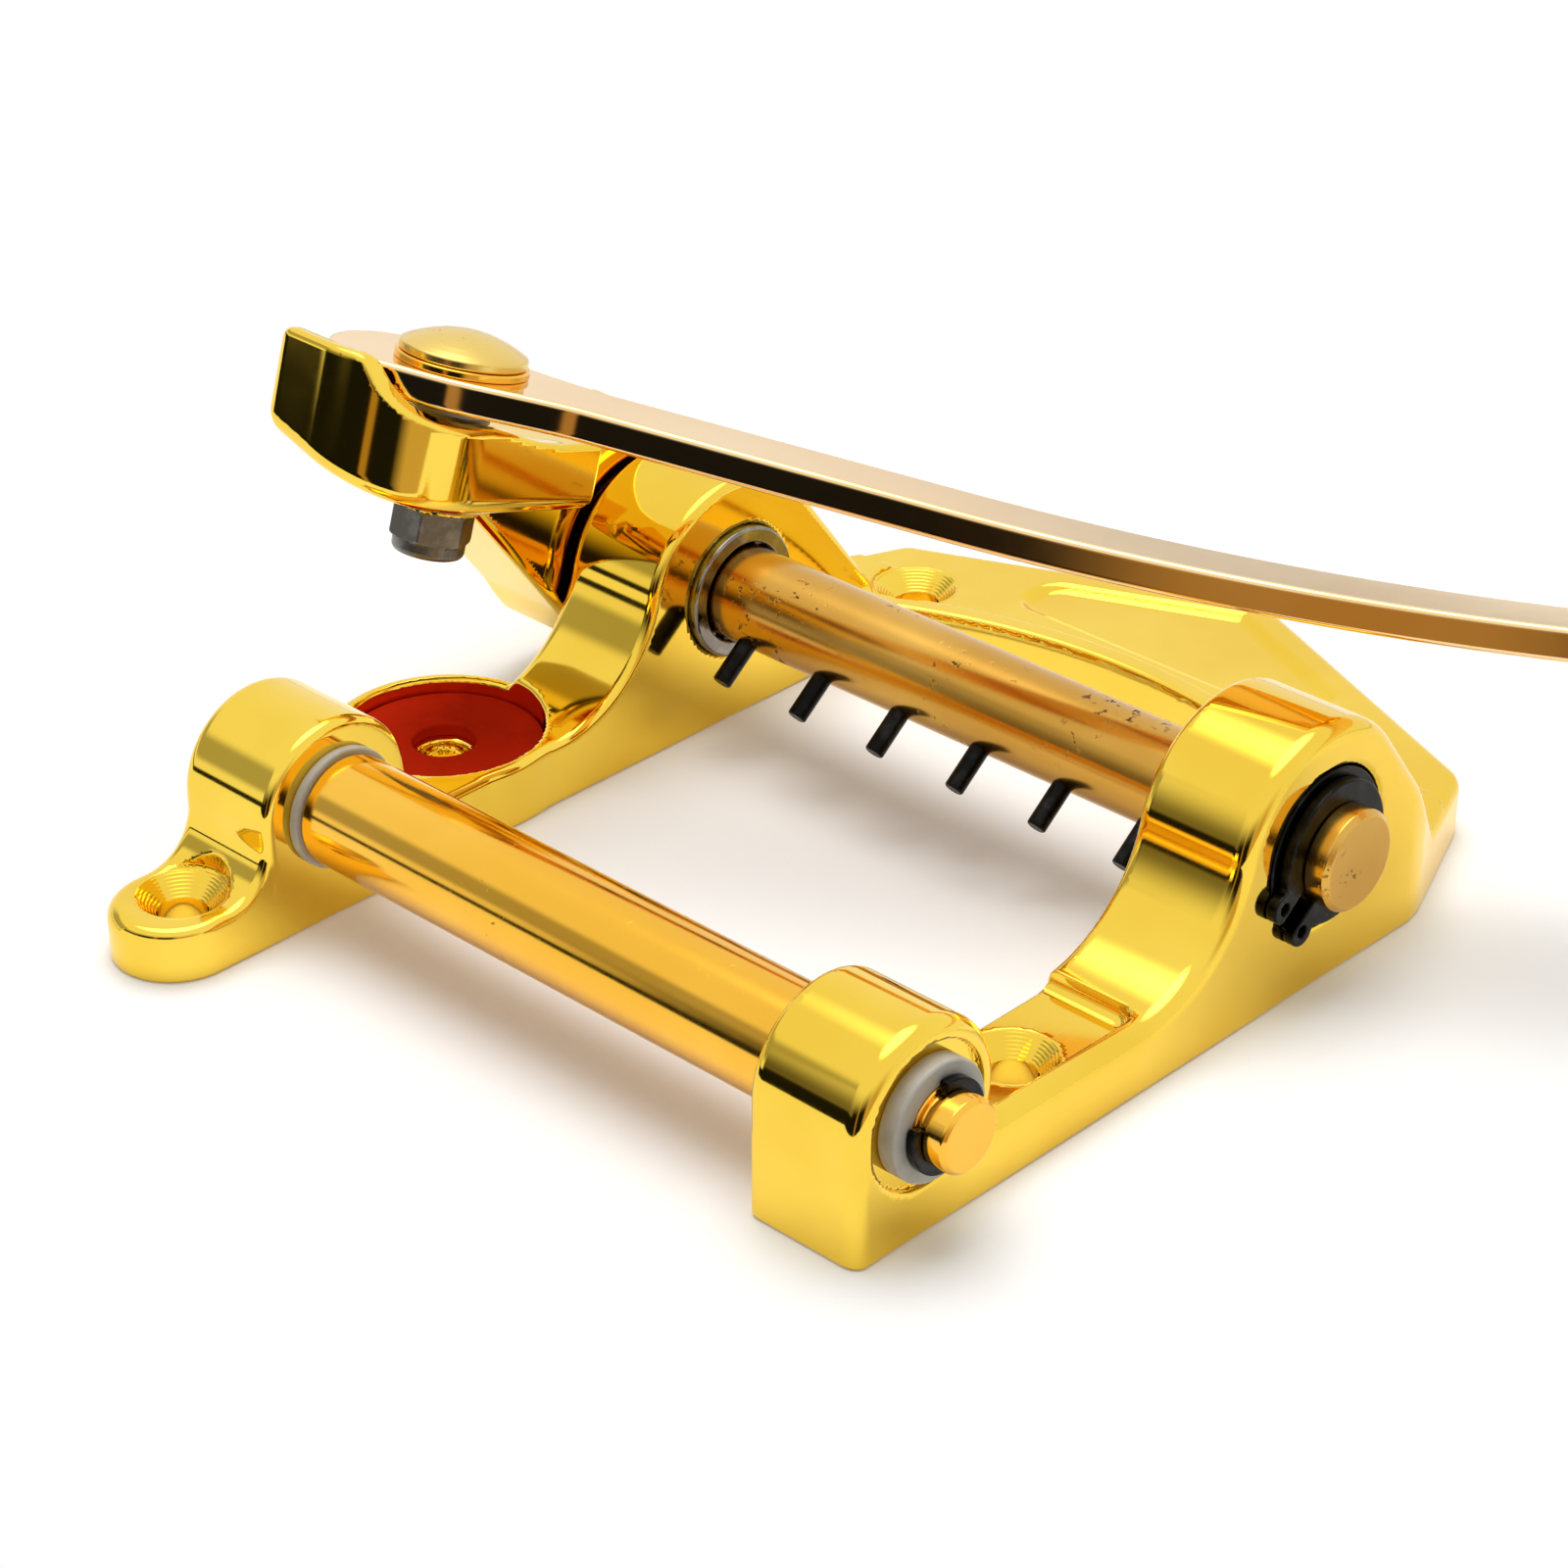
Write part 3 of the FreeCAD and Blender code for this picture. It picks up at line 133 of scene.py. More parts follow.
class NodeSheet:
    """One node tree, with a method that adds any node."""

    def __init__(self, tree: bpy.types.NodeTree) -> None:
        """Empties the tree."""
        self.tree = tree
        tree.nodes.clear()

    def add(self, kind: str, settings: dict[str, Any], sockets: dict[int | str, Any],
            output: int | str = 0) -> Wire:
        """Adds a node.

        Args:
            kind: the node's type.
            settings: its properties, set first; "stops" holds a ramp's (place, colour) pairs.
            sockets: a Wire or a plain value for each input, by name or place.
            output: the output to give back.

        Returns:
            The chosen output.
        """
        node = self.tree.nodes.new(kind)
        for key, value in settings.items():
            if key != "stops":
                setattr(node, key, value)
                continue
            ramp = node.color_ramp.elements
            while len(ramp) < len(value):
                ramp.new(1.0)
            for element, (place, colour) in zip(ramp, value):
                element.position = place
                element.color = (*colour, 1.0)
        for key, value in sockets.items():
            if isinstance(value, Wire):
                self.tree.links.new(value.socket, node.inputs[key])
            else:
                node.inputs[key].default_value = value
        return Wire(self, node.outputs[output]) if node.outputs else Wire(self, node.inputs[0])

    def place(self) -> Wire:
        """The piece's own coordinates, in metres."""
        return self.add("ShaderNodeTexCoord", {}, {}, "Object")

    def noise(self, scale: float, detail: float = 2.0, rough: float = 0.5) -> Wire:
        """Fractal noise in the piece's own coordinates.

        Args:
            scale: spots per metre.
            detail: octaves.
            rough: how much the fine octaves weigh.

        Returns:
            The noise, about 0.5.
        """
        sockets = {"Vector": self.place(), "Scale": scale, "Detail": detail, "Roughness": rough}
        return self.add("ShaderNodeTexNoise", {}, sockets, "Fac")

    def blend(self, share: Wire, first: Wire | Colour, second: Wire | Colour) -> Wire:
        """A colour between two, by a share."""
        ends = [end if isinstance(end, Wire) else (*end, 1.0) for end in (first, second)]
        return self.add("ShaderNodeMix", {"data_type": "RGBA"}, {0: share, 6: ends[0], 7: ends[1]}, 2)

    def bump(self, height: Wire, depth: float, after: Wire | None = None) -> Wire:
        """A normal bumped by a height.

        Args:
            height: the height, from 0 to 1.
            depth: what a height of 1 stands for, in metres.
            after: a normal that the bump adds to.

        Returns:
            The bumped normal.
        """
        sockets: dict[int | str, Any] = {"Strength": 1.0, "Distance": depth, "Height": height}
        if after:
            sockets["Normal"] = after
        return self.add("ShaderNodeBump", {}, sockets)

    def shader(self, sockets: dict[int | str, Any]) -> None:
        """Ends the sheet in a Principled surface."""
        surface = self.add("ShaderNodeBsdfPrincipled", {}, sockets)
        self.add("ShaderNodeOutputMaterial", {}, {0: surface})


@dataclass(frozen=True)
class Finish(ABC):
    """A finish that paints one material."""

    name: str

    @abstractmethod
    def paint(self, sheet: NodeSheet) -> None:
        """Adds the finish's nodes to a sheet."""

    def material(self) -> bpy.types.Material:
        """Makes the finish's material on its first use.

        Returns:
            The material.
        """
        name = f"finish_{self.name}"
        known = bpy.data.materials.get(name)
        if known:
            return known
        material = bpy.data.materials.new(name)
        material.use_nodes = True
        self.paint(NodeSheet(material.node_tree))
        return material


@dataclass(frozen=True)
class PlatedGold(Finish):
    """Mirror gold plate over a polished casting or bar: a soft unevenness, pits and dull spots.

    Scales are in spots per metre and depths in metres.
    """

    bright: Colour
    deep: Colour
    roughness: float = 0.07
    wave: float = 0.00002
    wave_scale: float = 60.0
    pit_scale: float = 900.0
    pit_level: float = 0.74
    pit_edge: float = 0.05
    pit_depth: float = 0.00005
    pit_dulling: float = 0.35
    pit_colour: Colour = (0.12, 0.055, 0.012)
    drift_scale: float = 45.0
    drift_span: Span = (0.35, 0.65)
    patch_scale: float = 120.0
    patch_span: Span = (0.5, 0.66)
    haze_scale: float = 320.0
    haze: float = 0.05

    def paint(self, sheet: NodeSheet) -> None:
        """Gold that drifts between two tones, with pits where fine noise peaks inside broad patches.

        Args:
            sheet: the material's sheet.
        """
        drift = sheet.noise(self.drift_scale, detail=3.0).between(*self.drift_span)
        colour = sheet.blend(drift, self.bright, self.deep)
        patch = sheet.noise(self.patch_scale).between(*self.patch_span)
        peaks = sheet.noise(self.pit_scale, detail=3.0, rough=0.6)
        pits = peaks.between(self.pit_level, self.pit_level + self.pit_edge) * patch
        colour = sheet.blend(pits, colour, self.pit_colour)
        haze = sheet.noise(self.haze_scale, detail=4.0, rough=0.6)
        rough = haze * self.haze + (self.roughness - self.haze / 2) + pits * self.pit_dulling
        swell = sheet.bump(sheet.noise(self.wave_scale, detail=1.0), self.wave)
        normal = sheet.bump(1.0 - pits, self.pit_depth, swell)
        sheet.shader({"Base Color": colour, "Metallic": 1.0, "Roughness": rough, "Normal": normal})


@dataclass(frozen=True)
class Grained(Finish):
    """A dull finish: two tones that drift, and a fine grain in the gloss and the normal."""

    tone: Colour
    worn: Colour
    roughness: float
    drift_scale: float
    drift_span: Span
    grain_scale: float
    grain_depth: float
    grain: float

    def coat(self, sheet: NodeSheet) -> dict[int | str, Any]:
        """Adds the drift and the grain.

        Args:
            sheet: the material's sheet.

        Returns:
            The surface's colour, gloss and normal, by socket.
        """
        drift = sheet.noise(self.drift_scale, detail=4.0, rough=0.6).between(*self.drift_span)
        grain = sheet.noise(self.grain_scale, detail=3.0)
        colour = sheet.blend(drift, self.tone, self.worn)
        rough = grain * self.grain + (self.roughness - self.grain / 2)
        normal = sheet.bump(grain, self.grain_depth)
        return {"Base Color": colour, "Roughness": rough, "Normal": normal}


@dataclass(frozen=True)
class DarkSteel(Grained):
    """Oiled or bare steel with rubbed spots."""

    drift_scale: float = 420.0
    drift_span: Span = (0.42, 0.72)
    grain_scale: float = 2600.0
    grain_depth: float = 0.000012
    grain: float = 0.2

    def paint(self, sheet: NodeSheet) -> None:
        """The grained coat as a metal."""
        sheet.shader({**self.coat(sheet), "Metallic": 1.0})


@dataclass(frozen=True)
class Moulded(Grained):
    """Matt fibre or moulded nylon with small scuffs."""

    drift_scale: float = 260.0
    drift_span: Span = (0.45, 0.75)
    grain_scale: float = 1800.0
    grain_depth: float = 0.00002
    grain: float = 0.2
    glow: float = 0.0
    scatter: float = 0.001
    sheen: float = 0.3
    bend: float = 1.45

    def paint(self, sheet: NodeSheet) -> None:
        """The grained coat with a little light inside it."""
        inside = {"Subsurface Weight": self.glow, "Subsurface Radius": (self.scatter,) * 3}
        sheet.shader({**self.coat(sheet), **inside, "Specular IOR Level": self.sheen, "IOR": self.bend})


CAST_GOLD = PlatedGold("cast_gold", (0.94, 0.66, 0.085), (0.89, 0.59, 0.06))
BAR_GOLD = PlatedGold("bar_gold", (0.95, 0.54, 0.07), (0.91, 0.49, 0.05), roughness=0.12,
                      wave=0.000008, wave_scale=90.0, pit_scale=1200.0, pit_level=0.68)
SHAFT_GOLD = PlatedGold("shaft_gold", (0.72, 0.42, 0.085), (0.62, 0.33, 0.055), roughness=0.2,
                        wave=0.00001, wave_scale=90.0, pit_scale=1100.0, pit_level=0.60)
ARM_GOLD = PlatedGold("arm_gold", (0.94, 0.66, 0.32), (0.91, 0.60, 0.26),
                      wave=0.00001, wave_scale=40.0, pit_level=0.76)
HEAD_GOLD = PlatedGold("head_gold", (0.84, 0.60, 0.16), (0.72, 0.48, 0.11), roughness=0.24,
                       wave_scale=120.0, pit_scale=1100.0, pit_level=0.64)
BLACK_OXIDE = DarkSteel("oxide_skin", (0.010, 0.010, 0.010), (0.028, 0.027, 0.026), 0.32)
BEARING_STEEL = DarkSteel("bearing_skin", (0.22, 0.20, 0.17), (0.34, 0.32, 0.28), 0.16)
# the nut's own dark zinc; the cone and flat washers under the arm take it too, as painted shade where the
# arm shades them
NUT_STEEL_AND_WASHER_SHADE = DarkSteel("nut_skin_and_washer_shade", (0.16, 0.15, 0.13), (0.28, 0.27, 0.24), 0.36)
WASHER_STEEL = DarkSteel("washer_skin", (0.34, 0.35, 0.36), (0.52, 0.53, 0.54), 0.36)
NYLON = Moulded("nylon_skin", (0.58, 0.55, 0.48), (0.48, 0.45, 0.38), 0.42, glow=0.1)
FIBRE = Moulded("fibre_skin", (0.64, 0.026, 0.006), (0.52, 0.02, 0.005), 0.9, sheen=0.0, bend=1.0)


def joined(first: Array, second: Array, radius: float | Array) -> Array:
    """Two distances joined with a fillet: outside both, the level is a circle in the two distances."""
    reach = np.hypot(np.maximum(radius - first, 0), np.maximum(radius - second, 0))
    return np.maximum(radius, np.minimum(first, second)) - reach


def shared(first: Array, second: Array, radius: float | Array) -> Array:
    """What two distances share, with the edge between them rounded."""
    return -joined(-first, -second, radius)


def without(first: Array, second: Array, radius: float | Array) -> Array:
    """The first shape less the second, with the edge between them rounded."""
    return shared(first, -second, radius)


def slab(value: Array, low: float, high: float) -> Array:
    """The distance to a slab between two values."""
    return np.maximum(low - value, value - high)


def falling(across: Array, up: Array, run: Span) -> Array:
    """The distance above a slanting line through zero that runs across and falls by a run's two lengths."""
    return (across * run[1] + up * run[0]) / math.hypot(*run)


def corner(radius: float, turn: float) -> float:
    """The blend that cuts a corner of a turn, in degrees, as deep as a true radius does."""
    return radius * (1 - math.cos(math.radians(turn) / 2)) / (1 - math.sqrt(0.5))


@dataclass
class Surface:
    """A closed surface: points in mm, quads, triangles and a normal at each point."""

    points: Array
    quads: Array
    triangles: Array
    normals: Array

    def moved(self, origin: Sequence[float], axes: Array) -> "Surface":
        """The surface carried to a place.

        Args:
            origin: where the zero point goes, in mm.
            axes: rows that say where the three axes point.

        Returns:
            The carried surface.
        """
        points = self.points @ axes + np.asarray(origin)
        return Surface(points, self.quads, self.triangles, self.normals @ axes)

    def piece(self, name: str, finish: Finish, body: Body, slot: Slot, *nodes: str) -> None:
        """Makes the piece that stands for CAD nodes.

        Args:
            name: the piece's name.
            finish: its finish.
            body: what it rides on.
            slot: the material slot that it stands for; not used.
            nodes: the nodes that it replaces.
        """
        mesh = bpy.data.meshes.new(name)
        mesh.vertices.add(len(self.points))
        mesh.vertices.foreach_set("co", (self.points * MM).astype(np.float32).ravel())
        corners = np.concatenate([self.quads.ravel(), self.triangles.ravel()]).astype(np.int32)
        sizes = np.concatenate([np.full(len(self.quads), 4), np.full(len(self.triangles), 3)])
        mesh.loops.add(len(corners))
        mesh.loops.foreach_set("vertex_index", corners)
        mesh.polygons.add(len(sizes))
        mesh.polygons.foreach_set("loop_start", (np.cumsum(sizes) - sizes).astype(np.int32))
        mesh.update(calc_edges=True)
        mesh.shade_smooth()
        mesh.normals_split_custom_set_from_vertices(self.normals.tolist())
        mesh.materials.append(finish.material())
        piece = bpy.data.objects.new(name, mesh)
        bpy.context.scene.collection.objects.link(piece)
        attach(piece, body.value)
        if nodes:
            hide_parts(*nodes)
        log.info("%s: %d faces on %s", name, len(sizes), body.value)


def slopes(shape: Field, points: Array, reach: float = 0.01) -> Array:
    """A field's slope: along each axis, the difference over a small reach to both sides.

    Args:
        shape: the field.
        points: where the slope is wanted, in mm.
        reach: the reach to each side.

    Returns:
        The slopes, a row for each point.
    """
    steps = np.eye(3) * reach
    rises = [shape(*(points + step).T) - shape(*(points - step).T) for step in steps]
    return np.stack(rises, 1) / (2 * reach)


def field_surface(shape: Field, low: Sequence[float], high: Sequence[float],
                  step: float | Sequence[float]) -> Surface:
    """The zero level of a distance field as a net of quads.

    Each grid cell that the level crosses gets one point, the mean of the crossings on its edges, and each
    grid edge that it crosses gets a quad of the four cells round it. The points then slide down the field's
    slope onto the level, and the slope is their normal.

    Args:
        shape: the field, negative inside.
        low: the grid's lowest corner, in mm.
        high: its highest corner.
        step: its spacing, one for all axes or one for each.

    Returns:
        The surface.
    """
    steps = np.broadcast_to(np.asarray(step, float), 3)
    axes = [np.arange(start, stop + gap, gap) for start, stop, gap in zip(low, high, steps)]
    values = shape(*np.meshgrid(*axes, indexing="ij", sparse=True))
    values = np.broadcast_to(values, [len(axis) for axis in axes])
    inside = values < 0
    cells = [size - 1 for size in values.shape]
    corners = [(i, j, k) for i in (0, 1) for j in (0, 1) for k in (0, 1)]

    def part(grid: Array, place: tuple[int, int, int]) -> Array:
        """One corner of every cell."""
        return grid[tuple(slice(at, at + size) for at, size in zip(place, cells))]

    count = sum(part(inside, place).astype(np.int8) for place in corners)
    mixed = np.nonzero((count > 0) & (count < 8))
    number = np.full(cells, -1)
    number[mixed] = np.arange(len(mixed[0]))
    total, crossings = np.zeros((len(mixed[0]), 3)), np.zeros(len(mixed[0]))
    for start in corners:
        for way in range(3):
            if start[way]:
                continue
            stop = tuple(1 if axis == way else at for axis, at in enumerate(start))
            first, second = part(values, start)[mixed], part(values, stop)[mixed]
            crossed = (first < 0) != (second < 0)
            share = np.where(crossed, first / np.where(crossed, first - second, 1), 0)
            spot = np.tile(np.array(start, float), (len(share), 1))
            spot[:, way] += share
            total += spot * crossed[:, None]
            crossings += crossed
    points = np.array(low) + (np.stack(mixed, 1) + total / crossings[:, None]) * steps

    quads = []
    for way in range(3):
        left, right = (way + 1) % 3, (way + 2) % 3
        ahead = np.moveaxis(inside, way, 0)
        flips = np.moveaxis(ahead[:-1] != ahead[1:], 0, way)
        keep = [slice(None)] * 3
        keep[left] = keep[right] = slice(1, -1)
        edges = np.stack(np.nonzero(flips[tuple(keep)]), 1)
        edges[:, left] += 1
        edges[:, right] += 1
        out = inside[tuple(edges.T)]
        ring = []
        for back_left, back_right in ((1, 1), (0, 1), (0, 0), (1, 0)):
            cell = edges.copy()
            cell[:, left] -= back_left
            cell[:, right] -= back_right
            ring.append(number[tuple(cell.T)])
        ring = np.stack(ring, 1)
        quads += [ring[out], ring[~out][:, ::-1]]

    for _ in range(SLIDES):
        slope = slopes(shape, points)
        length = np.maximum((slope ** 2).sum(1), LEAST_SLOPE)
        slide = (shape(*points.T) / length)[:, None] * slope
        reach = np.linalg.norm(slide, axis=1, keepdims=True)
        points = points - slide * np.minimum(1, SLIDE_SHARE * steps.min() / np.maximum(reach, TINY))
    slope = slopes(shape, points)
    normals = slope / np.maximum(np.linalg.norm(slope, axis=1, keepdims=True), TINY)
    return Surface(points, np.concatenate(quads), np.zeros((0, 3), int), normals)


def rounded(outline: Outline, radius: float, closed: bool) -> tuple[Array, Array]:
    """A profile with each corner turned into an arc of a few points.

    The arc starts and ends one tangent length from the corner, and its normals turn evenly between those
    of the two straight runs.

    Args:
        outline: corners as (along, out from the axis), with the solid on the left of the way.
        radius: the arcs' radius, less on short runs.
        closed: whether the last corner joins the first.

    Returns:
        The points and their normals.
    """
    spots = np.array(outline, float)
    total = len(spots)
    points, normals = [], []
    for index in range(total):
        here = spots[index]
        before = here - spots[index - 1]
        after = spots[(index + 1) % total] - here
        if not closed and index in (0, total - 1):
            run = after if index == 0 else before
            run = run / np.linalg.norm(run)
            points.append(here)
            normals.append((run[1], -run[0]))
            continue
        lengths = np.linalg.norm(before), np.linalg.norm(after)
        before, after = before / lengths[0], after / lengths[1]
        turn = math.atan2(before[0] * after[1] - before[1] * after[0], before @ after)
        bend = min(radius * abs(math.tan(turn / 2)), RUN_SHARE * min(lengths))
        start = math.atan2(-before[0], before[1])
        size = bend / max(abs(math.tan(turn / 2)), LEAST_TURN) * np.sign(turn)
        centre = here - before * bend - size * np.array([math.cos(start), math.sin(start)])
        for share in np.linspace(0, 1, ARC_POINTS):
            angle = start + turn * share
            out = np.array([math.cos(angle), math.sin(angle)])
            points.append(centre + size * out)
            normals.append(out)
    return np.array(points), np.array(normals)


def lathe(outline: Outline, radius: float = 0.2, closed: bool = False,
          turns: int = TURNS) -> Surface:
    """A profile turned about the X axis: each point (along, out) sweeps the circle of radius out.

    Args:
        outline: the profile's corners; an open one starts and ends on the axis.
        radius: the rounding of its corners, in mm.
        closed: whether it is a ring.
        turns: points round the axis.

    Returns:
        The closed surface.
    """
    points, normals = rounded(outline, radius, closed)
    angle = np.arange(turns) * 2 * np.pi / turns
    ring = np.stack([np.cos(angle), np.sin(angle)], 1)

    def swept(rows: Array) -> Array:
        """Rows of (along, out) turned about the axis."""
        along = np.broadcast_to(rows[:, None, :1], (len(rows), turns, 1))
        return np.concatenate([along, rows[:, None, 1:] * ring], 2)

    rows = len(points)
    number = np.arange(rows * turns).reshape(rows, turns)
    if closed:
        number = np.concatenate([number, number[:1]])
    last = np.roll(number, -1, 1)
    quads = np.stack([number[:-1], number[1:], last[1:], last[:-1]], 2)
    places, facing = swept(points).reshape(-1, 3), swept(normals).reshape(-1, 3)
    if closed:
        return Surface(places, quads.reshape(-1, 4), np.zeros((0, 3), int), facing)
    # each end row lies on the axis, so one point of it closes the pole
    first, final = number[0, 0], number[-1, 0]
    caps = np.concatenate([
        np.stack([np.full(turns, first), number[1], last[1]], 1),
        np.stack([np.full(turns, final), last[-2], number[-2]], 1),
    ])
    kept = np.unique(np.concatenate([quads[1:-1].ravel(), caps.ravel()]))
    renumber = np.zeros(len(places), int)
    renumber[kept] = np.arange(len(kept))
    return Surface(places[kept], renumber[quads[1:-1].reshape(-1, 4)], renumber[caps], facing[kept])


def washer(low: float, high: float, hole: float, rim: float) -> Outline:
    """A washer's profile between two places along its axis, from its hole's radius to its rim's."""
    return [(high, hole), (high, rim), (low, rim), (low, hole)]


def mirrored(outline: Outline) -> Outline:
    """A profile's mirror image at the other end, in the same turning sense."""
    return [(-along, out) for along, out in outline[::-1]]


def about_x(angle: float) -> Array:
    """Axes turned about X by an angle that takes Y towards -Z."""
    cosine, sine = math.cos(angle), math.sin(angle)
    return np.array([[1, 0, 0], [0, cosine, -sine], [0, sine, cosine]])


def dress(node: str, finish: Finish) -> None:
    """Gives a CAD node's object a finish.

    Args:
        node: the node.
        finish: its finish.
    """
    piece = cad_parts[node]
    if not piece.material_slots:
        piece.data.materials.append(None)
    for place in piece.material_slots:
        place.material = finish.material()
    log.info("%s: CAD mesh in %s", node, finish.name)


# axes and places in the model's frame, in mm; the bracket lies level in a frame that tilts forwards
ALONG_X = np.eye(3)
AGAINST_X = np.diag([-1.0, 1.0, -1.0])
ALONG_Z = np.array([[0.0, 0, 1], [1, 0, 0], [0, 1, 0]])
LEVEL = about_x(math.radians(17.2))
ALONG_BOLT = ALONG_Z @ LEVEL
SHAFT = (0.0, -25.0, 14.4)
BAR = (0.0, -78.8, 11.7)
BOLT = (-42.8, -56.715, 24.218)


@dataclass
class Casting:
    """The horseshoe casting with posts, bosses, tab, cup and plate.

    Sizes are in mm, and places along Y count from the shaft's axis. A turn is a radius with an angle in
    degrees, and a run is a slant's length across with its fall.
    """

    inner: float = 31.0
    outer: float = 43.6
    middle: float = 37.3
    edges: Span = (0.95, 1.7)
    post: float = 12.3
    post_rise: float = SHAFT[2]
    lean: float = math.radians(37.0)
    sweep: float = 14.0
    ledge: float = 6.7
    ledge_inset: float = 2.0
    ledge_end: float = 26.0
    boss: float = 8.8
    boss_back: float = SHAFT[1] - BAR[1]
    boss_rise: float = BAR[2]
    boss_fillet: float = 2.4
    tab_rise: float = 5.6
    tab_end: float = 69.0
    tab_round: float = 6.3
    tab_reach: float = 80.0
    tab_lap: float = 4.0
    tab_fillet: float = 5.0
    tab_fillet_lap: float = 0.5
    shoulder: float = 15.3
    shoulder_run: Span = (6.9, 16.7)
    shoulder_turn: Span = (10.0, 22.4)
    tail: float = 48.0
    tail_run: Span = (36.7, 16.0)
    tail_turn: Span = (5.0, 43.9)
    tip_turn: Span = (6.0, 47.1)
    tip_share: float = 0.55
    tip_round: float = 1.2
    plate: float = 6.2
    plate_start: float = 8.0
    plate_edge: float = 1.3
    plate_half: float = 36.0
    plate_fillets: Span = (0.9, 0.05)
    arc: float = 60.0
    arc_centre: float = -34.8
    rib: float = 2.6
    rib_rise: float = 0.8
    rib_half: float = 33.0
    rib_edge: float = 0.6
    rib_fillet: float = 0.5
    cup: Span = (-42.3, -30.6)
    cup_rim: float = 11.55
    cup_top: float = 6.4
    cup_edge: float = 0.6
    cup_bore: float = 10.15
    cup_bore_edge: float = 0.45
    cup_floor: float = 3.6
    drain: float = 2.4
    drain_floor: float = 2.4
    drain_edge: float = 0.3
    seat_hole: float = 3.2
    seat_rim: float = 10.0
    seat_top: float = 4.9
    seat_edge: float = 0.25
    pad_x: Span = (27.0, 41.4)
    pad_y: Span = (-44.2, -23.6)
    pad_z: Span = (5.0, 12.0)
    pad_rounds: Span = (2.0, 1.4)
    cut_edge: float = 0.15
    panel_front: float = 29.9
    panel_half: float = 19.0
    panel_tip: float = 43.8
    panel_rounds: Span = (2.2, 1.6)
    panel_depth: float = 0.8
    panel_edges: Span = (0.8, 0.9)
    screw: float = 2.4
    tab_screw: Span = (-37.3, -68.1)
    pad_screw: Span = (36.2, -34.6)
    plate_screw: Span = (29.0, 25.0)
    sink: float = 1.9
    room: float = 0.35
    room_depth: float = 1.7
    ripple: float = 0.025
    ripple_points: int = 22
    liner_wall: float = 0.6
    liner_rim: float = 2.1
    liner_foot: float = 0.3
    liner_drops: tuple[float, float, float, float] = (2.0, 1.92, 0.5, 0.03)
    liner_edge: float = 0.02
    shaft_bore: float = 7.0
    shim_bore: float = 8.1
    shim_floor: float = 41.6
    bar_bore: float = 5.0
    flange_bore: float = 6.9
    flange_sink: float = 0.8
    bore_edge: float = 0.35
    base_edge: float = 0.4
    grid: Grid = ((-55.2, -102, -1.2), (45.2, 25, 28.4))
    step: float = 0.45

    def side(self, y: Array, z: Array, tab: bool) -> Array:
        """An arm's side view: boss, ledge, sweep, post and rear slope, and the tab.

        The post is a circle. A hollow arc, the sweep, joins it to the ledge in front, and a slope leaves
        it as a tangent behind. The boss is a circle over a block.

        Args:
            y: places along the arm.
            z: heights.
            tab: whether the tab is there.

        Returns:
            The distance, negative inside.
        """
        post = np.hypot(y, z - self.post_rise) - self.post
        rise = self.ledge + self.sweep - self.post_rise
        centres = self.post + self.sweep
        sweep_y = -math.sqrt(centres ** 2 - rise ** 2)
        touch = self.post_rise + rise * self.post / centres
        hollow = self.sweep - np.hypot(y - sweep_y, z - self.ledge - self.sweep)
        under = np.maximum(np.maximum(slab(y, sweep_y, 0), z - touch), hollow)
        across, up = math.cos(self.lean), math.sin(self.lean)
        slope = np.maximum(y * across + (z - self.post_rise) * up - self.post,
                           np.maximum(-y, z - self.post_rise - self.post * up))
        front = -self.boss_back - self.boss
        block = np.maximum(slab(y, front, -self.boss_back), z - self.boss_rise)
        boss = np.minimum(np.hypot(y + self.boss_back, z - self.boss_rise) - self.boss, block)
        ledge = np.maximum(z - self.ledge, slab(y, front + self.ledge_inset, self.ledge_end))
        low = np.minimum(slope, joined(boss, ledge, self.boss_fillet))
        arm = np.minimum(np.minimum(post, under), low)
        if tab:
            foot = np.maximum(z - self.tab_rise, slab(y, -self.tab_reach, front + self.tab_lap))
            fillet = np.where(y < front + self.tab_fillet_lap, self.tab_fillet, SHARP)
            arm = joined(arm, foot, fillet)
        return arm

    def plan(self, x: Array, y: Array) -> Array:
        """The plan's outer outline: straight sides, slanting shoulders and the tail, with rounded turns.

        Args:
            x: places across.
            y: places along.

        Returns:
            The distance, negative inside.
        """
        aside = np.abs(x)
        slant = falling(aside - self.outer, y - self.shoulder, self.shoulder_run)
        tail = falling(aside, y - self.tail, self.tail_run)
        tip = (y - self.tail) + corner(*self.tip_turn) * self.tip_share
        edge = shared(aside - self.outer, slant, corner(*self.shoulder_turn))
        edge = shared(edge, tail, corner(*self.tail_turn))
        return shared(edge, tip, self.tip_round)

    def screws(self) -> list[tuple[Span, float]]:
        """Each screw hole's place, and the height of the face that it opens in."""
        x, y = self.plate_screw
        return [(self.tab_screw, self.tab_rise), (self.pad_screw, self.pad_z[0]),
                ((x, y), self.plate), ((-x, y), self.plate)]

    def screw_room(self, x: Array, y: Array, z: Array, place: Span, top: float) -> Array:
        """The room for a screw hole's liner: a cylinder that opens upwards into a cone of 45 degrees.

        Args:
            x, y, z: coordinates.
            place: the hole's place.
            top: the height of the face that it opens in.

        Returns:
            The distance, negative inside.
        """
        out = np.hypot(x - place[0], y - place[1]) - self.screw - self.room
        cone = (out - (z - top + self.room_depth)) * math.sqrt(0.5)
        return np.minimum(out, np.maximum(cone, out - self.sink))

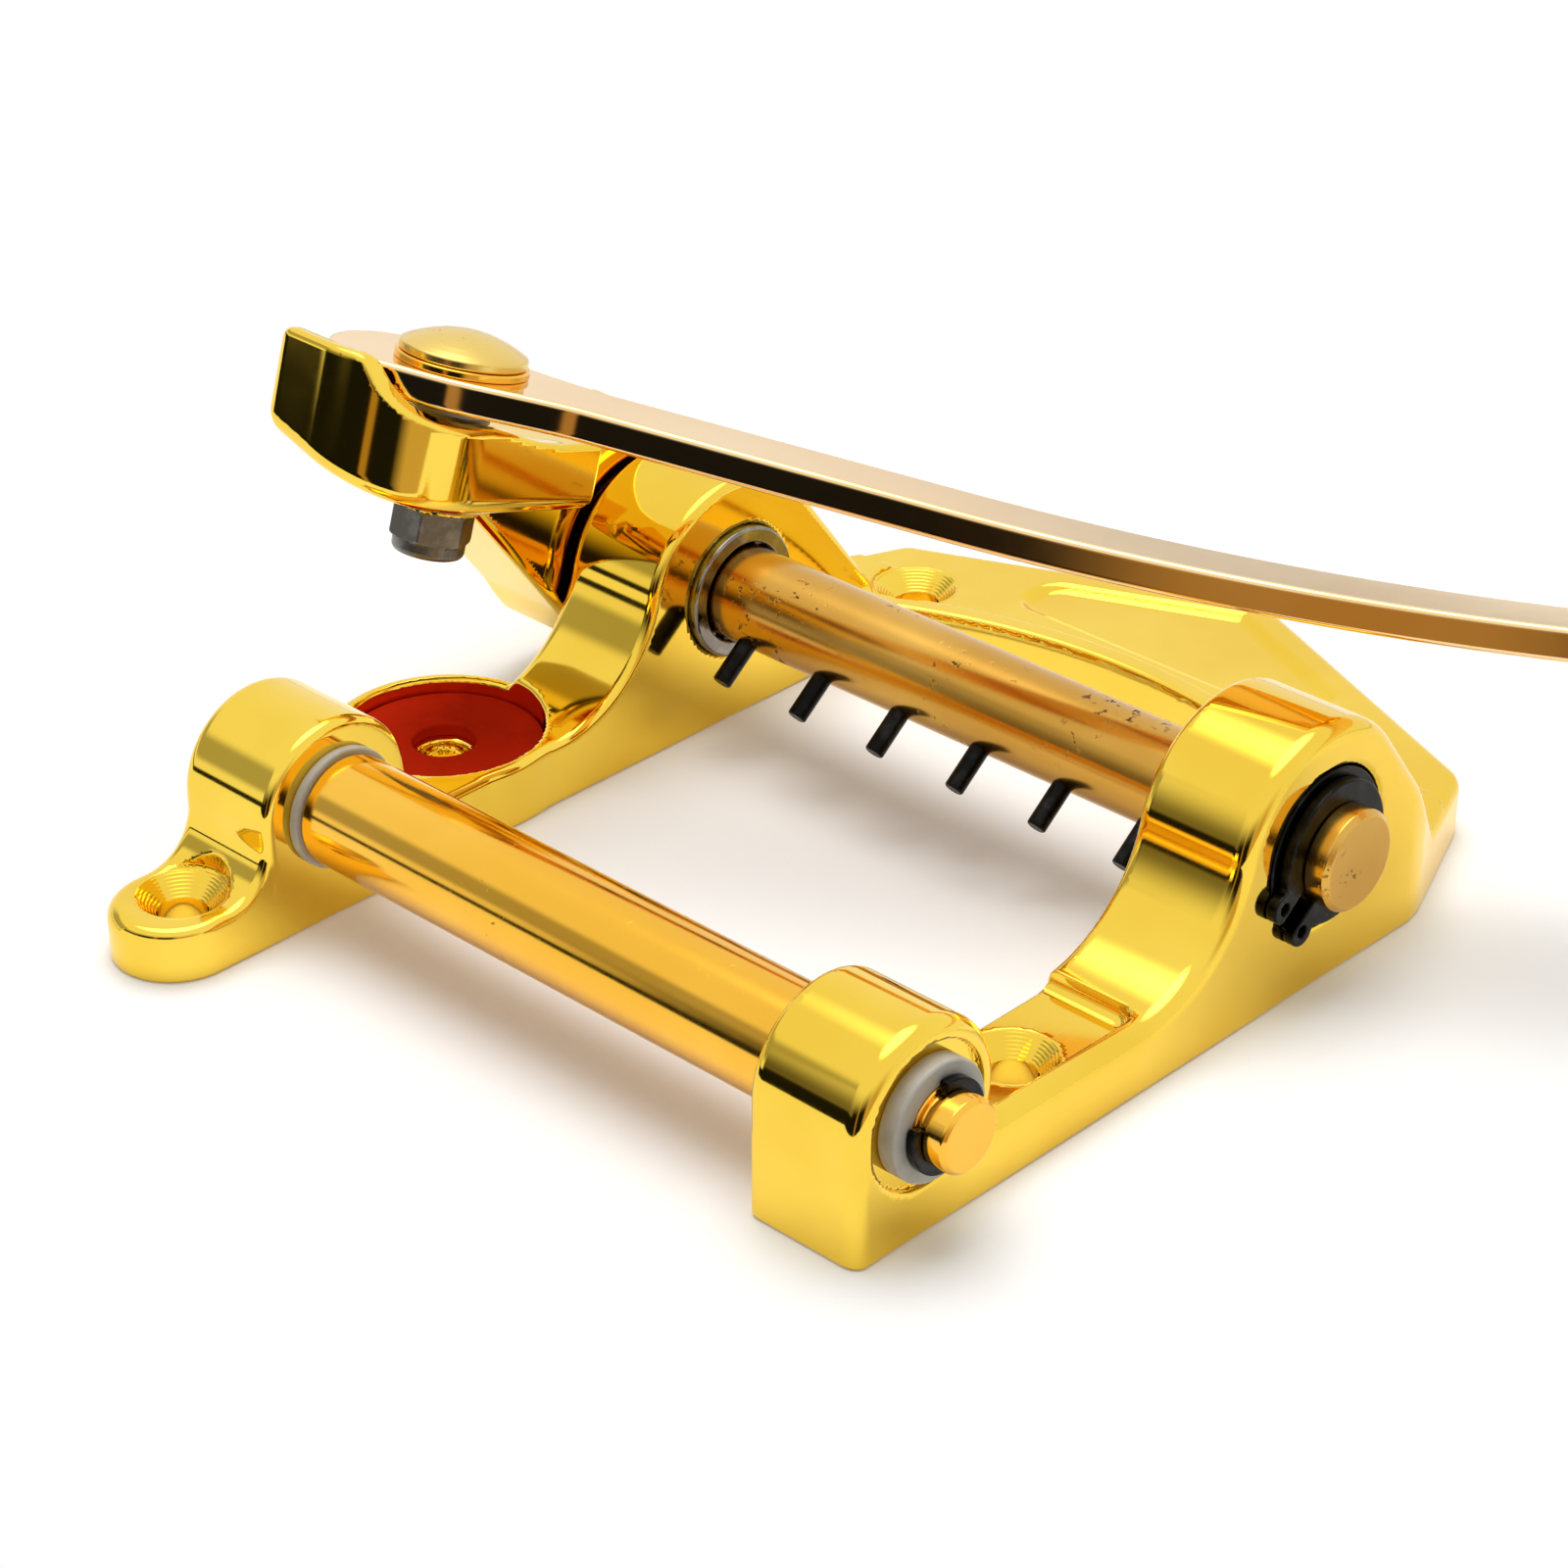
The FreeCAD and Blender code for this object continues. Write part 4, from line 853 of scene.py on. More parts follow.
    def liners(self) -> None:
        """Makes each countersink: a ring whose cone carries the ripples that the drill left."""
        share = np.linspace(0, 1, self.ripple_points)
        out = self.screw + self.sink * share
        ripple = self.ripple * (np.arange(self.ripple_points) % 3 == 1)
        wall, rim = self.screw + self.liner_wall, self.screw + self.liner_rim
        for number, ((x, y), top) in enumerate(self.screws(), 1):
            seat, start, step, end = (top - drop for drop in self.liner_drops)
            cone = list(zip((start + self.sink * share + ripple).tolist(), out.tolist()))
            back = [(end, rim), (step, rim), (seat, wall), (self.liner_foot, wall)]
            ring = lathe([*back, (self.liner_foot, self.screw), *cone], self.liner_edge, True)
            ring.moved((x, y + SHAFT[1], 0.0), ALONG_Z).piece(
                f"countersink_{number}", CAST_GOLD, Body.FRAME, Slot.CASTING)

    def arms(self, x: Array, y: Array, z: Array, plan: Array) -> Array:
        """The two arms: side views carried across, within the plan. The left one ends in the round tab.

        Args:
            x, y, z: coordinates.
            plan: the plan's distance there.

        Returns:
            The distance, negative inside.
        """
        aside = np.abs(x)
        ends = np.where(y < -self.tab_end, np.hypot(x + self.middle, y + self.tab_end) - self.tab_round,
                        np.maximum(plan, self.inner - aside))
        edge = np.where(aside > self.middle, self.edges[1], self.edges[0])
        left = shared(self.side(y, z, True), np.maximum(ends, x), edge)
        across = np.maximum(np.maximum(plan, self.inner - x), -x)
        return np.minimum(left, shared(self.side(y, z, False), across, edge))

    def bores(self, x: Array, y: Array, z: Array) -> Array:
        """The bores of shaft and bar: the shim is let in on the right, and the bar's flanges on both sides.

        Args:
            x, y, z: coordinates.

        Returns:
            The distance, negative inside.
        """
        shaft = np.hypot(y, z - self.post_rise)
        bar = np.hypot(y + self.boss_back, z - self.boss_rise)
        bores = np.minimum(shaft - self.shaft_bore, bar - self.bar_bore)
        bores = np.minimum(bores, np.maximum(shaft - self.shim_bore, self.shim_floor - x))
        sunk = self.outer - self.flange_sink - np.abs(x)
        return np.minimum(bores, np.maximum(bar - self.flange_bore, sunk))

    def shape(self, x: Array, y: Array, z: Array) -> Array:
        """The casting: arms, plate and rib joined with the cup, less pad, panel, screw holes and bores.

        Args:
            x, y, z: coordinates in the model's frame.

        Returns:
            The distance, negative inside.
        """
        y = y - SHAFT[1]
        plan = self.plan(x, y)
        aside = np.abs(x)
        arc = self.arc - np.hypot(x, y - self.arc_centre)
        floor = shared(z - self.plate, np.maximum(plan, self.plate_start - y), self.plate_edge)
        floor = shared(floor, arc, self.rib_edge)
        rib = np.maximum(shared(arc, -arc - self.rib, self.rib_edge), aside - self.rib_half)
        rib = shared(rib, z - self.plate - self.rib_rise, self.rib_edge)
        fillet = np.where(aside < self.plate_half, *self.plate_fillets)
        body = joined(joined(floor, rib, self.rib_fillet), self.arms(x, y, z, plan), fillet)

        ring = np.hypot(x - self.cup[0], y - self.cup[1])
        wall = shared(ring - self.cup_rim, z - self.cup_top, self.cup_edge)
        body = joined(body, wall, self.cup_edge)
        body = without(body, np.maximum(ring - self.cup_bore, self.cup_floor - z), self.cup_bore_edge)
        body = without(body, np.maximum(ring - self.drain, self.drain_floor - z), self.drain_edge)

        pad = shared(slab(x, *self.pad_x), slab(y, *self.pad_y), self.pad_rounds[0])
        body = without(body, shared(pad, slab(z, *self.pad_z), self.pad_rounds[1]), self.cut_edge)

        panel = shared(self.panel_front - y, aside - self.panel_half, self.panel_rounds[0])
        panel = shared(panel, falling(aside, y - self.panel_tip, self.tail_run), self.panel_rounds[1])
        panel = shared(panel, self.plate - self.panel_depth - z, self.panel_edges[0])
        body = without(body, panel, self.panel_edges[1])

        for place, top in self.screws():
            body = without(body, self.screw_room(x, y, z, place, top), self.cut_edge)
        return shared(without(body, self.bores(x, y, z), self.bore_edge), -z, self.base_edge)

    def build(self) -> None:
        """Makes the casting, its countersinks and the red washer in its cup."""
        net = field_surface(self.shape, *self.grid, self.step)
        net.piece("casting_body", CAST_GOLD, Body.FRAME, Slot.CASTING, "main_frame")
        self.liners()
        seat = washer(self.cup_floor, self.seat_top, self.seat_hole, self.seat_rim)
        place = (self.cup[0], self.cup[1] + SHAFT[1], 0.0)
        lathe(seat, self.seat_edge, True, MANY_TURNS).moved(place, ALONG_Z).piece(
            "spring_seat", FIBRE, Body.FRAME, Slot.FIBRE, "spring_seat_washer")


@dataclass
class ArmBracket:
    """The bracket on the shaft's left end: hub, plate, gusset and stop lug.

    Places are in its own level frame, with the shaft's axis at zero.
    """

    hub: float = 11.6
    hub_edge: float = 0.9
    hub_fillet: float = 1.5
    end: float = 56.7
    face: float = 44.3
    side: float = 37.0
    left: float = 55.7
    front: float = 46.0
    corners: Span = (2.2, 12.0)
    back: float = 17.5
    back_fillet: float = 2.5
    floor: float = 6.6
    floor_edge: float = 2.0
    rise: float = 5.0
    seat: float = 14.0
    seat_edge: float = 0.6
    top: float = 21.4
    top_edges: Triple = (0.9, 2.4, 0.8)
    wall: float = 1.8
    wall_edge: float = 0.5
    wall_fillet: float = 0.8
    slope_start: float = 44.1
    slope_run: Span = (3.0, 4.4)
    slope_fillet: float = 1.6
    lip_start: float = 41.1
    lip_top: float = 17.0
    lip_run: Span = (4.1, 1.3)
    taper_start: float = 36.0
    taper_run: Span = (11.0, 3.0)
    lug_back: float = 50.0
    gusset_way: Span = (0.592, 0.806)
    gusset_top: float = 12.0
    gusset_front: float = 28.6
    gusset_edge: float = 1.0
    gusset_fillet: float = 1.2
    bolt: Span = (BOLT[0], -33.2)
    bolt_bore: float = 2.5
    bolt_boss: float = 4.55
    bolt_boss_top: float = 13.0
    bore: float = 5.0
    bore_edges: Span = (0.4, 0.3)
    set_screw: Span = (-50.5, 2.0)
    # a depth that leaves it to other distances to decide
    deep: float = 5.0
    grid: Grid = ((-58.07, -47.27, -12.87), (-35.8, 12.8, 22.6))
    step: float = 0.4

    def rim(self, x: Array, y: Array, z: Array) -> Array:
        """What the wall ends under: the lug's top, its slope down to the lip, and the lip's taper.

        Args:
            x, y, z: coordinates.

        Returns:
            The distance, negative below.
        """
        slope = falling(x + self.slope_start, z - self.top, self.slope_run)
        lip = falling(x + self.lip_start, z - self.lip_top, self.lip_run)
        taper = falling(y + self.taper_start, z - self.lip_top, self.taper_run)
        taper = np.where(y < -self.taper_start, -self.deep, taper)
        back = np.where(x < -self.lug_back, y + self.front - self.wall, -self.deep)
        top, end, lip_edge = self.top_edges
        level = shared(z - self.top, joined(slope, lip, self.slope_fillet), top)
        level = shared(level, -self.left - x, end)
        return np.maximum(shared(level, taper, lip_edge), back)

    def plate(self, x: Array, y: Array, z: Array, rear: Array) -> Array:
        """The plate, whose rim stands up as the lug and whose underside rises to the left.

        Args:
            x, y, z: coordinates.
            rear: the distance to the plate's rear planes.

        Returns:
            The distance, negative inside.
        """
        outer = shared(-self.left - x, -self.front - y, self.corners[0])
        outer = shared(outer, x + self.side, self.corners[1])
        lug = shared(-self.wall - outer, self.rim(x, y, z), self.wall_edge)
        over = joined(z - self.seat, lug, self.wall_fillet)
        rising = self.rise / (self.end - self.side)
        under = (self.floor - rising * (self.side + x) - z) / math.hypot(1, rising)
        under = np.minimum(under, np.maximum(self.floor - z, -self.back - y))
        sides = np.maximum(np.maximum(outer, rear), y)
        return shared(shared(over, sides, self.seat_edge), under, self.floor_edge)

    def gusset(self, x: Array, y: Array, z: Array) -> Array:
        """The web in front of the hub, under a plane that leaves the hub as a tangent.

        Args:
            x, y, z: coordinates.

        Returns:
            The distance, negative inside.
        """
        across, down = self.gusset_way
        ahead = np.maximum(y, down * y - across * z)
        web = np.maximum(-across * y - down * z - self.hub, np.maximum(ahead, z - self.gusset_top))
        web = np.maximum(web, -self.gusset_front - y)
        return shared(web, slab(x, -self.end, -self.face), self.gusset_edge)

    def shape(self, x: Array, y: Array, z: Array) -> Array:
        """The bracket: hub, plate, gusset and the nut's boss joined, less the bores.

        Args:
            x, y, z: coordinates.

        Returns:
            The distance, negative inside.
        """
        axle = np.hypot(y, z)
        bolt = np.hypot(x - self.bolt[0], y - self.bolt[1])
        rear = joined(y + self.back, x + self.face, self.back_fillet)
        hub = shared(axle - self.hub, slab(x, -self.end, -self.face), self.hub_edge)
        boss = np.maximum(bolt - self.bolt_boss, slab(z, self.floor, self.bolt_boss_top))
        body = joined(self.plate(x, y, z, rear), hub, self.hub_fillet)
        body = joined(joined(body, self.gusset(x, y, z), self.gusset_fillet), boss, self.bore_edges[1])
        # the fillets swell where faces lie flush, so the outer planes trim them
        body = np.maximum(body, np.maximum(-self.end - x, rear))
        body = without(body, axle - self.bore, self.bore_edges[0])
        body = without(body, bolt - self.bolt_bore, self.bore_edges[1])
        place, radius = self.set_screw
        return without(body, np.maximum(np.hypot(x - place, y) - radius, -z), self.bore_edges[1])

    def build(self) -> None:
        """Makes the bracket and dresses the set screw that locks it."""
        net = field_surface(self.shape, *self.grid, self.step)
        net.moved(SHAFT, LEVEL).piece("bracket_casting", CAST_GOLD, Body.ROCKER, Slot.CASTING, "arm_bracket")
        dress("bracket_set_screw", BLACK_OXIDE)


@dataclass
class TremoloArm:
    """The flat arm: worked out straight, then bent upwards over an arc."""

    wide: float = 7.2
    narrow: float = 4.8
    tail: float = 6.2
    neck: float = 15.0
    straight: float = 50.0
    bend: float = 390.0
    turn: float = math.radians(8.4)
    reach: float = 79.5
    floor: float = 17.4
    thick: float = 3.2
    edge: float = 0.55
    hole: float = 2.55
    hole_edge: float = 0.2
    swing: float = math.radians(25.5)
    grid: Grid = ((-14.4, -8.2, 16.4), (1.2, 8.2, 21.6))
    step: Triple = (0.5, 0.22, 0.2)

    def length(self) -> float:
        """The arm's length along its underside, from the bolt to the tip."""
        return self.straight + self.bend * self.turn + self.reach

    def shape(self, s: Array, t: Array, h: Array) -> Array:
        """The straight arm: a blade that widens smoothly to a round end, with rounded edges and a hole.

        Args:
            s: places along the arm, from the bolt.
            t: places across.
            h: heights.

        Returns:
            The distance, negative inside.
        """
        share = np.clip(s / self.neck, 0, 1)
        half = self.wide + (self.narrow - self.wide) * share * share * (3 - 2 * share)
        tip = self.length() - self.narrow
        side = np.where(s < -self.tail, np.hypot(s + self.tail, t) - self.wide, np.abs(t) - half)
        side = np.where(s > tip, np.hypot(s - tip, t) - self.narrow, side)
        blade = shared(side, slab(h, self.floor, self.floor + self.thick), self.edge)
        return without(blade, np.hypot(s, t) - self.hole, self.hole_edge)

    def bent(self, net: Surface) -> Surface:
        """The net bent: past the straight run each point turns with the arc, then runs on straight.

        Args:
            net: the straight arm.

        Returns:
            The bent arm.
        """
        s, t, h = net.points.T
        angle = np.clip((s - self.straight) / self.bend, 0, self.turn)
        rest = s - np.clip(s, self.straight, self.straight + self.bend * self.turn)
        radius = self.bend - (h - self.floor)
        along = self.straight + radius * np.sin(angle) + rest * np.cos(angle)
        up = self.floor + self.bend - radius * np.cos(angle) + rest * np.sin(angle)
        n_s, n_t, n_h = net.normals.T
        facing = np.stack([n_s * np.cos(angle) - n_h * np.sin(angle), n_t,
                           n_s * np.sin(angle) + n_h * np.cos(angle)], 1)
        return Surface(np.stack([along, t, up], 1), net.quads, net.triangles, facing)

    def build(self) -> None:
        """Makes the arm in its level frame, bends it and swings it out."""
        low, (past, across, up) = self.grid
        net = field_surface(self.shape, low, (self.length() + past, across, up), self.step)
        turn = np.array([[math.cos(self.swing), math.sin(self.swing), 0],
                         [-math.sin(self.swing), math.cos(self.swing), 0], [0, 0, 1]])
        self.bent(net).moved(BOLT, turn @ LEVEL).piece(
            "arm_blade", ARM_GOLD, Body.ARM, Slot.BAR, "tremolo_arm")


@dataclass
class BoltStack:
    """The arm's bolt with its head, washers and nut, stacked along the bolt."""

    bolt: float = 2.5
    bolt_end: float = 1.5
    head: float = 6.3
    head_rim: float = 0.9
    head_dome: float = 1.8
    dome_points: int = 7
    head_edge: float = 0.3
    hole: float = 2.55
    arm_top: float = 20.6
    head_washer: Span = (0.8, 6.6)
    head_washer_edge: float = 0.2
    spring_washer: Triple = (14.0, 14.7, 15.4)
    spring_edge: float = 0.12
    flat_washer: Span = (15.4, 16.37)
    flat_edge: float = 0.15
    steel_rim: float = 3.7
    glide_washer: Span = (16.43, 17.37)
    glide_rim: float = 4.6
    glide_edge: float = 0.2
    floor: float = 6.6
    nut_half: float = 3.6
    nut_chamfer: float = 3.85
    nut_tall: float = 3.4
    collar: Triple = (4.9, 2.0, 0.7)
    nut_edge: float = 0.15
    grid: Grid = ((-5.43, -5.47, 0.87), (5.4, 5.4, 7.4))
    step: float = 0.2

    def nut(self, x: Array, y: Array, z: Array) -> Array:
        """A hexagon with chamfered corners, a round collar below it and the bolt's bore.

        Args:
            x, y, z: coordinates, with the bolt along Z.

        Returns:
            The distance, negative inside.
        """
        around = np.hypot(x, y)
        hexagon = np.maximum(np.abs(y), np.abs(x) * math.sqrt(0.75) + np.abs(y) / 2) - self.nut_half
        inwards = np.minimum(self.floor - z, z - self.floor + self.nut_tall)
        cone = (around - self.nut_chamfer - inwards) * math.sqrt(0.5)
        flats = slab(z, self.floor - self.nut_tall, self.floor)
        body = shared(np.maximum(hexagon, cone), flats, self.nut_edge)
        low, high, edge = self.collar
        collar = shared(around - self.nut_half, slab(z, self.floor - low, self.floor - high), edge)
        return without(np.minimum(body, collar), around - self.bolt, self.nut_edge)

    def build(self) -> None:
        """Makes the bolt, the washers on it and the nut."""
        thick, wide = self.head_washer
        rim = self.arm_top + thick
        crown = rim + self.head_rim
        share = np.linspace(0, 1, self.dome_points + 2)[1:-1]
        dome = [(crown + self.head_dome * (1 - (1 - k) ** 2), self.head * (1 - k)) for k in share]
        outline = [(self.bolt_end, 0.0), (self.bolt_end, self.bolt), (rim, self.bolt), (rim, self.head),
                   (crown, self.head), *dome, (crown + self.head_dome, 0.0)]
        lathe(outline[::-1], self.head_edge).moved(BOLT, ALONG_BOLT).piece(
            "bolt_head", HEAD_GOLD, Body.ROCKER, Slot.BAR, "arm_bolt")
        low, middle, high = self.spring_washer
        cone = [(high, self.hole), (middle, self.steel_rim), (low, self.steel_rim), (middle, self.hole)]
        stack = (
            ("bolt_washer", washer(self.arm_top, rim, self.hole, wide), self.head_washer_edge,
             BAR_GOLD, Body.ROCKER, Slot.BAR, "arm_head_washer"),
            # painted shade: the cone and flat washers take the nut's darker steel, not washer steel, because
            # they sit in the arm's shade
            ("cone_washer", cone, self.spring_edge,
             NUT_STEEL_AND_WASHER_SHADE, Body.ROCKER, Slot.WASHER, "arm_spring_washer"),
            ("flat_washer", washer(*self.flat_washer, self.hole, self.steel_rim), self.flat_edge,
             NUT_STEEL_AND_WASHER_SHADE, Body.ROCKER, Slot.WASHER, "arm_flat_washer"),
            ("glide_washer", washer(*self.glide_washer, self.hole, self.glide_rim), self.glide_edge,
             NYLON, Body.ARM, Slot.NYLON, "arm_glide_washer"),
        )
        for name, profile, edge, finish, body, slot, node in stack:
            lathe(profile, edge, True).moved(BOLT, ALONG_BOLT).piece(name, finish, body, slot, node)
        net = field_surface(self.nut, *self.grid, self.step)
        net.moved(BOLT, LEVEL).piece("bolt_nut", NUT_STEEL_AND_WASHER_SHADE, Body.ROCKER, Slot.WASHER, "arm_nut")


@dataclass
class StringShaft:
    """The rocking shaft with its pins, end ring and washers."""

    radius: float = 5.0
    chamfer: float = 0.5
    left: float = -56.7
    right: float = 47.4
    edge: float = 0.25
    groove: float = 43.7
    ring: float = 1.1
    ring_rim: float = 7.1
    ring_edge: float = 0.15
    lug_out: float = 7.85
    lug: float = 1.5
    lug_hole: float = 0.6
    lug_hole_edge: float = 0.05
    lug_fillet: float = 0.5
    mouth: float = math.radians(17.0)
    mouth_inset: float = 1.0
    mouth_edge: float = 0.2
    pins: int = 6
    pitch: float = 10.4
    pin: float = 1.0
    tip: float = 9.7
    root: float = -0.9
    lean: float = math.radians(38.0)
    hole: float = 5.1
    shim: Span = (41.65, 43.6)
    shim_rim: float = 7.95
    shim_edge: float = 0.2
    thrust: Span = (-44.3, -43.7)
    thrust_rim: float = 8.5
    thrust_edge: float = 0.12
    grid: Grid = ((43.23, -10.43, -8.27), (45.4, 8.2, 8.2))
    step: float = 0.16

    def snap_ring(self, x: Array, y: Array, z: Array) -> Array:
        """The ring lying across X: a flat annulus, open at -Y, with a drilled lug at each side of its mouth.

        Args:
            x, y, z: coordinates, with the shaft's axis at zero.

        Returns:
            The distance, negative inside.
        """
        around = np.hypot(y, z)
        lug_y, lug_z = self.lug_out * math.cos(self.mouth), self.lug_out * math.sin(self.mouth)
        lug = np.hypot(y + lug_y, np.abs(z) - lug_z)
        flat = np.maximum(around - self.ring_rim, self.radius - self.chamfer - around)
        flat = joined(flat, lug - self.lug, self.lug_fillet)
        mouth = np.maximum(np.abs(z) - lug_z + self.mouth_inset, y)
        flat = without(flat, mouth, self.mouth_edge)
        flat = without(flat, lug - self.lug_hole, self.lug_hole_edge)
        return shared(flat, slab(x, self.groove, self.groove + self.ring), self.ring_edge)

    def build(self) -> None:
        """Makes the shaft, its six pins, the snap ring, the shim and the thrust washer."""
        end, neck = self.groove + self.ring, self.radius - self.chamfer
        outline = [(self.right, 0.0), (self.right, neck), (self.right - self.chamfer, self.radius),
                   (end, self.radius), (end, neck), (self.groove, neck), (self.groove, self.radius),
                   (self.left + self.chamfer, self.radius), (self.left, neck), (self.left, 0.0)]
        lathe(outline, self.edge, False, MANY_TURNS).moved(SHAFT, ALONG_X).piece(
            "shaft_rod", SHAFT_GOLD, Body.ROCKER, Slot.BAR, "string_shaft")
        sine, cosine = math.sin(self.lean), math.cos(self.lean)
        down = np.array([[0, -cosine, -sine], [1, 0, 0], [0, -sine, cosine]])
        profile = [(self.tip, 0.0), (self.tip, self.pin), (self.root, self.pin), (self.root, 0.0)]
        pin = lathe(profile, self.edge, False, FEW_TURNS)
        for number in range(1, self.pins + 1):
            place = (self.pitch * (number - (self.pins + 1) / 2), SHAFT[1], SHAFT[2])
            pin.moved(place, down).piece(
                f"pin_{number}", BLACK_OXIDE, Body.ROCKER, Slot.BLACK, f"string_pin_{number}")
        net = field_surface(self.snap_ring, *self.grid, self.step)
        net.moved(SHAFT, about_x(-self.lean)).piece(
            "end_ring", BLACK_OXIDE, Body.ROCKER, Slot.BLACK, "shaft_snap_ring")
        shim = lathe(washer(*self.shim, self.hole, self.shim_rim), self.shim_edge, True)
        shim.moved(SHAFT, ALONG_X).piece("shim_ring", BLACK_OXIDE, Body.FRAME, Slot.BLACK, "shaft_shim")
        thrust = lathe(washer(*self.thrust, self.hole, self.thrust_rim), self.thrust_edge, True)
        thrust.moved(SHAFT, ALONG_X).piece(
            "thrust_ring", WASHER_STEEL, Body.ROCKER, Slot.WASHER, "shaft_thrust_washer")


@dataclass
class TensionBar:
    """The tension bar with its clips and nylon bushes."""

    radius: float = 5.6
    neck: float = 3.5
    chamfer: float = 0.4
    edge: float = 0.3
    shoulder: float = 29.9
    groove: float = 44.9
    groove_floor: float = 2.9
    end: float = 48.2
    clip: float = 0.9
    clip_rim: float = 4.45
    clip_edge: float = 0.12
    mouth: float = math.radians(52.0)
    mouth_half: float = math.radians(33.0)
    bush_hole: float = 3.55
    bush: float = 5.0
    inner_bush: Triple = (30.0, 31.0, 37.0)
    inner_flange: float = 6.1
    outer_bush: Triple = (37.6, 42.8, 44.8)
    outer_flange: float = 5.7
    grid: Grid = ((44.4, -6, -6), (46.3, 6, 6))
    step: float = 0.16

    def clip_shape(self, x: Array, y: Array, z: Array) -> Array:
        """The right clip, lying across X: a flat annulus with a wedge cut out, forwards and up.

        Args:
            x, y, z: coordinates, with the bar's axis at zero.

        Returns:
            The distance, negative inside.
        """
        around = np.hypot(y, z)
        ahead = z * math.sin(self.mouth) - y * math.cos(self.mouth)
        aside = np.abs(y * math.sin(self.mouth) + z * math.cos(self.mouth))
        flat = np.maximum(around - self.clip_rim, self.groove_floor - around)
        wedge = aside * math.cos(self.mouth_half) - ahead * math.sin(self.mouth_half)
        flat = without(flat, wedge, self.edge)
        return shared(flat, slab(x, self.groove, self.groove + self.clip), self.clip_edge)

    def bushes(self) -> dict[str, Outline]:
        """The right bushes' profiles, each a tube with a flange at one end.

        Returns:
            The profiles, by name.
        """
        low, step, high = self.inner_bush
        inner = [(high, self.bush_hole), (high, self.bush), (step, self.bush), (step, self.inner_flange),
                 (low, self.inner_flange), (low, self.bush_hole)]
        low, step, high = self.outer_bush
        outer = [(high, self.bush_hole), (high, self.outer_flange), (step, self.outer_flange),
                 (step, self.bush), (low, self.bush), (low, self.bush_hole)]
        return {"inner": inner, "outer": outer}

    def build(self) -> None:
        """Makes the bar, and a clip and two bushes at each end."""
        stop = self.groove + self.clip
        half = [(self.end, 0.0), (self.end, self.neck - self.chamfer), (self.end - self.chamfer, self.neck),
                (stop, self.neck), (stop, self.groove_floor), (self.groove, self.groove_floor),
                (self.groove, self.neck), (self.shoulder, self.neck), (self.shoulder, self.radius)]
        lathe(half + mirrored(half), self.edge, False, MANY_TURNS).moved(BAR, ALONG_X).piece(
            "bar_rod", BAR_GOLD, Body.BAR, Slot.BAR, "tension_bar")
        net = field_surface(self.clip_shape, *self.grid, self.step)
        for side in ("left", "right"):
            right = side == "right"
            axes = ALONG_X if right else AGAINST_X
            net.moved(BAR, axes).piece(
                f"{side}_clip", BLACK_OXIDE, Body.BAR, Slot.BLACK, f"{side}_bar_clip")
            for part, outline in self.bushes().items():
                ring = lathe(outline if right else mirrored(outline), self.edge, True)
                ring.moved(BAR, ALONG_X).piece(
                    f"{side}_{part}_collar", NYLON, Body.FRAME, Slot.NYLON, f"{side}_{part}_bush")


@dataclass
class Bearings:
    """The two needle bearings."""

    ends: Span = (30.1, 41.1)
    lip: float = 0.5
    mouth: float = 5.35
    bore: float = 6.5
    rim: float = 7.0
    edge: float = 0.35

    def build(self) -> None:
        """Makes the shells, and dresses cages and rollers."""
        low, high = self.ends
        shell = [(high, self.mouth), (high, self.rim), (low, self.rim), (low, self.mouth),
                 (low + self.lip, self.mouth), (low + self.lip, self.bore),
                 (high - self.lip, self.bore), (high - self.lip, self.mouth)]
        for side in ("left", "right"):
            outline = shell if side == "right" else mirrored(shell)
            lathe(outline, self.edge, True, MANY_TURNS).moved(SHAFT, ALONG_X).piece(
                f"{side}_cup", BEARING_STEEL, Body.FRAME, Slot.BEARING, f"{side}_bearing_shell")
            for part in ("needle_cage", "needle_rollers"):
                dress(f"{side}_{part}", BEARING_STEEL)


WHITE = (1.0, 1.0, 1.0)
BLACK = (0.01, 0.01, 0.01)
OLIVE = (0.20, 0.19, 0.16)
WARM = (0.42, 0.25, 0.08)
PEACH = (0.62, 0.46, 0.30)


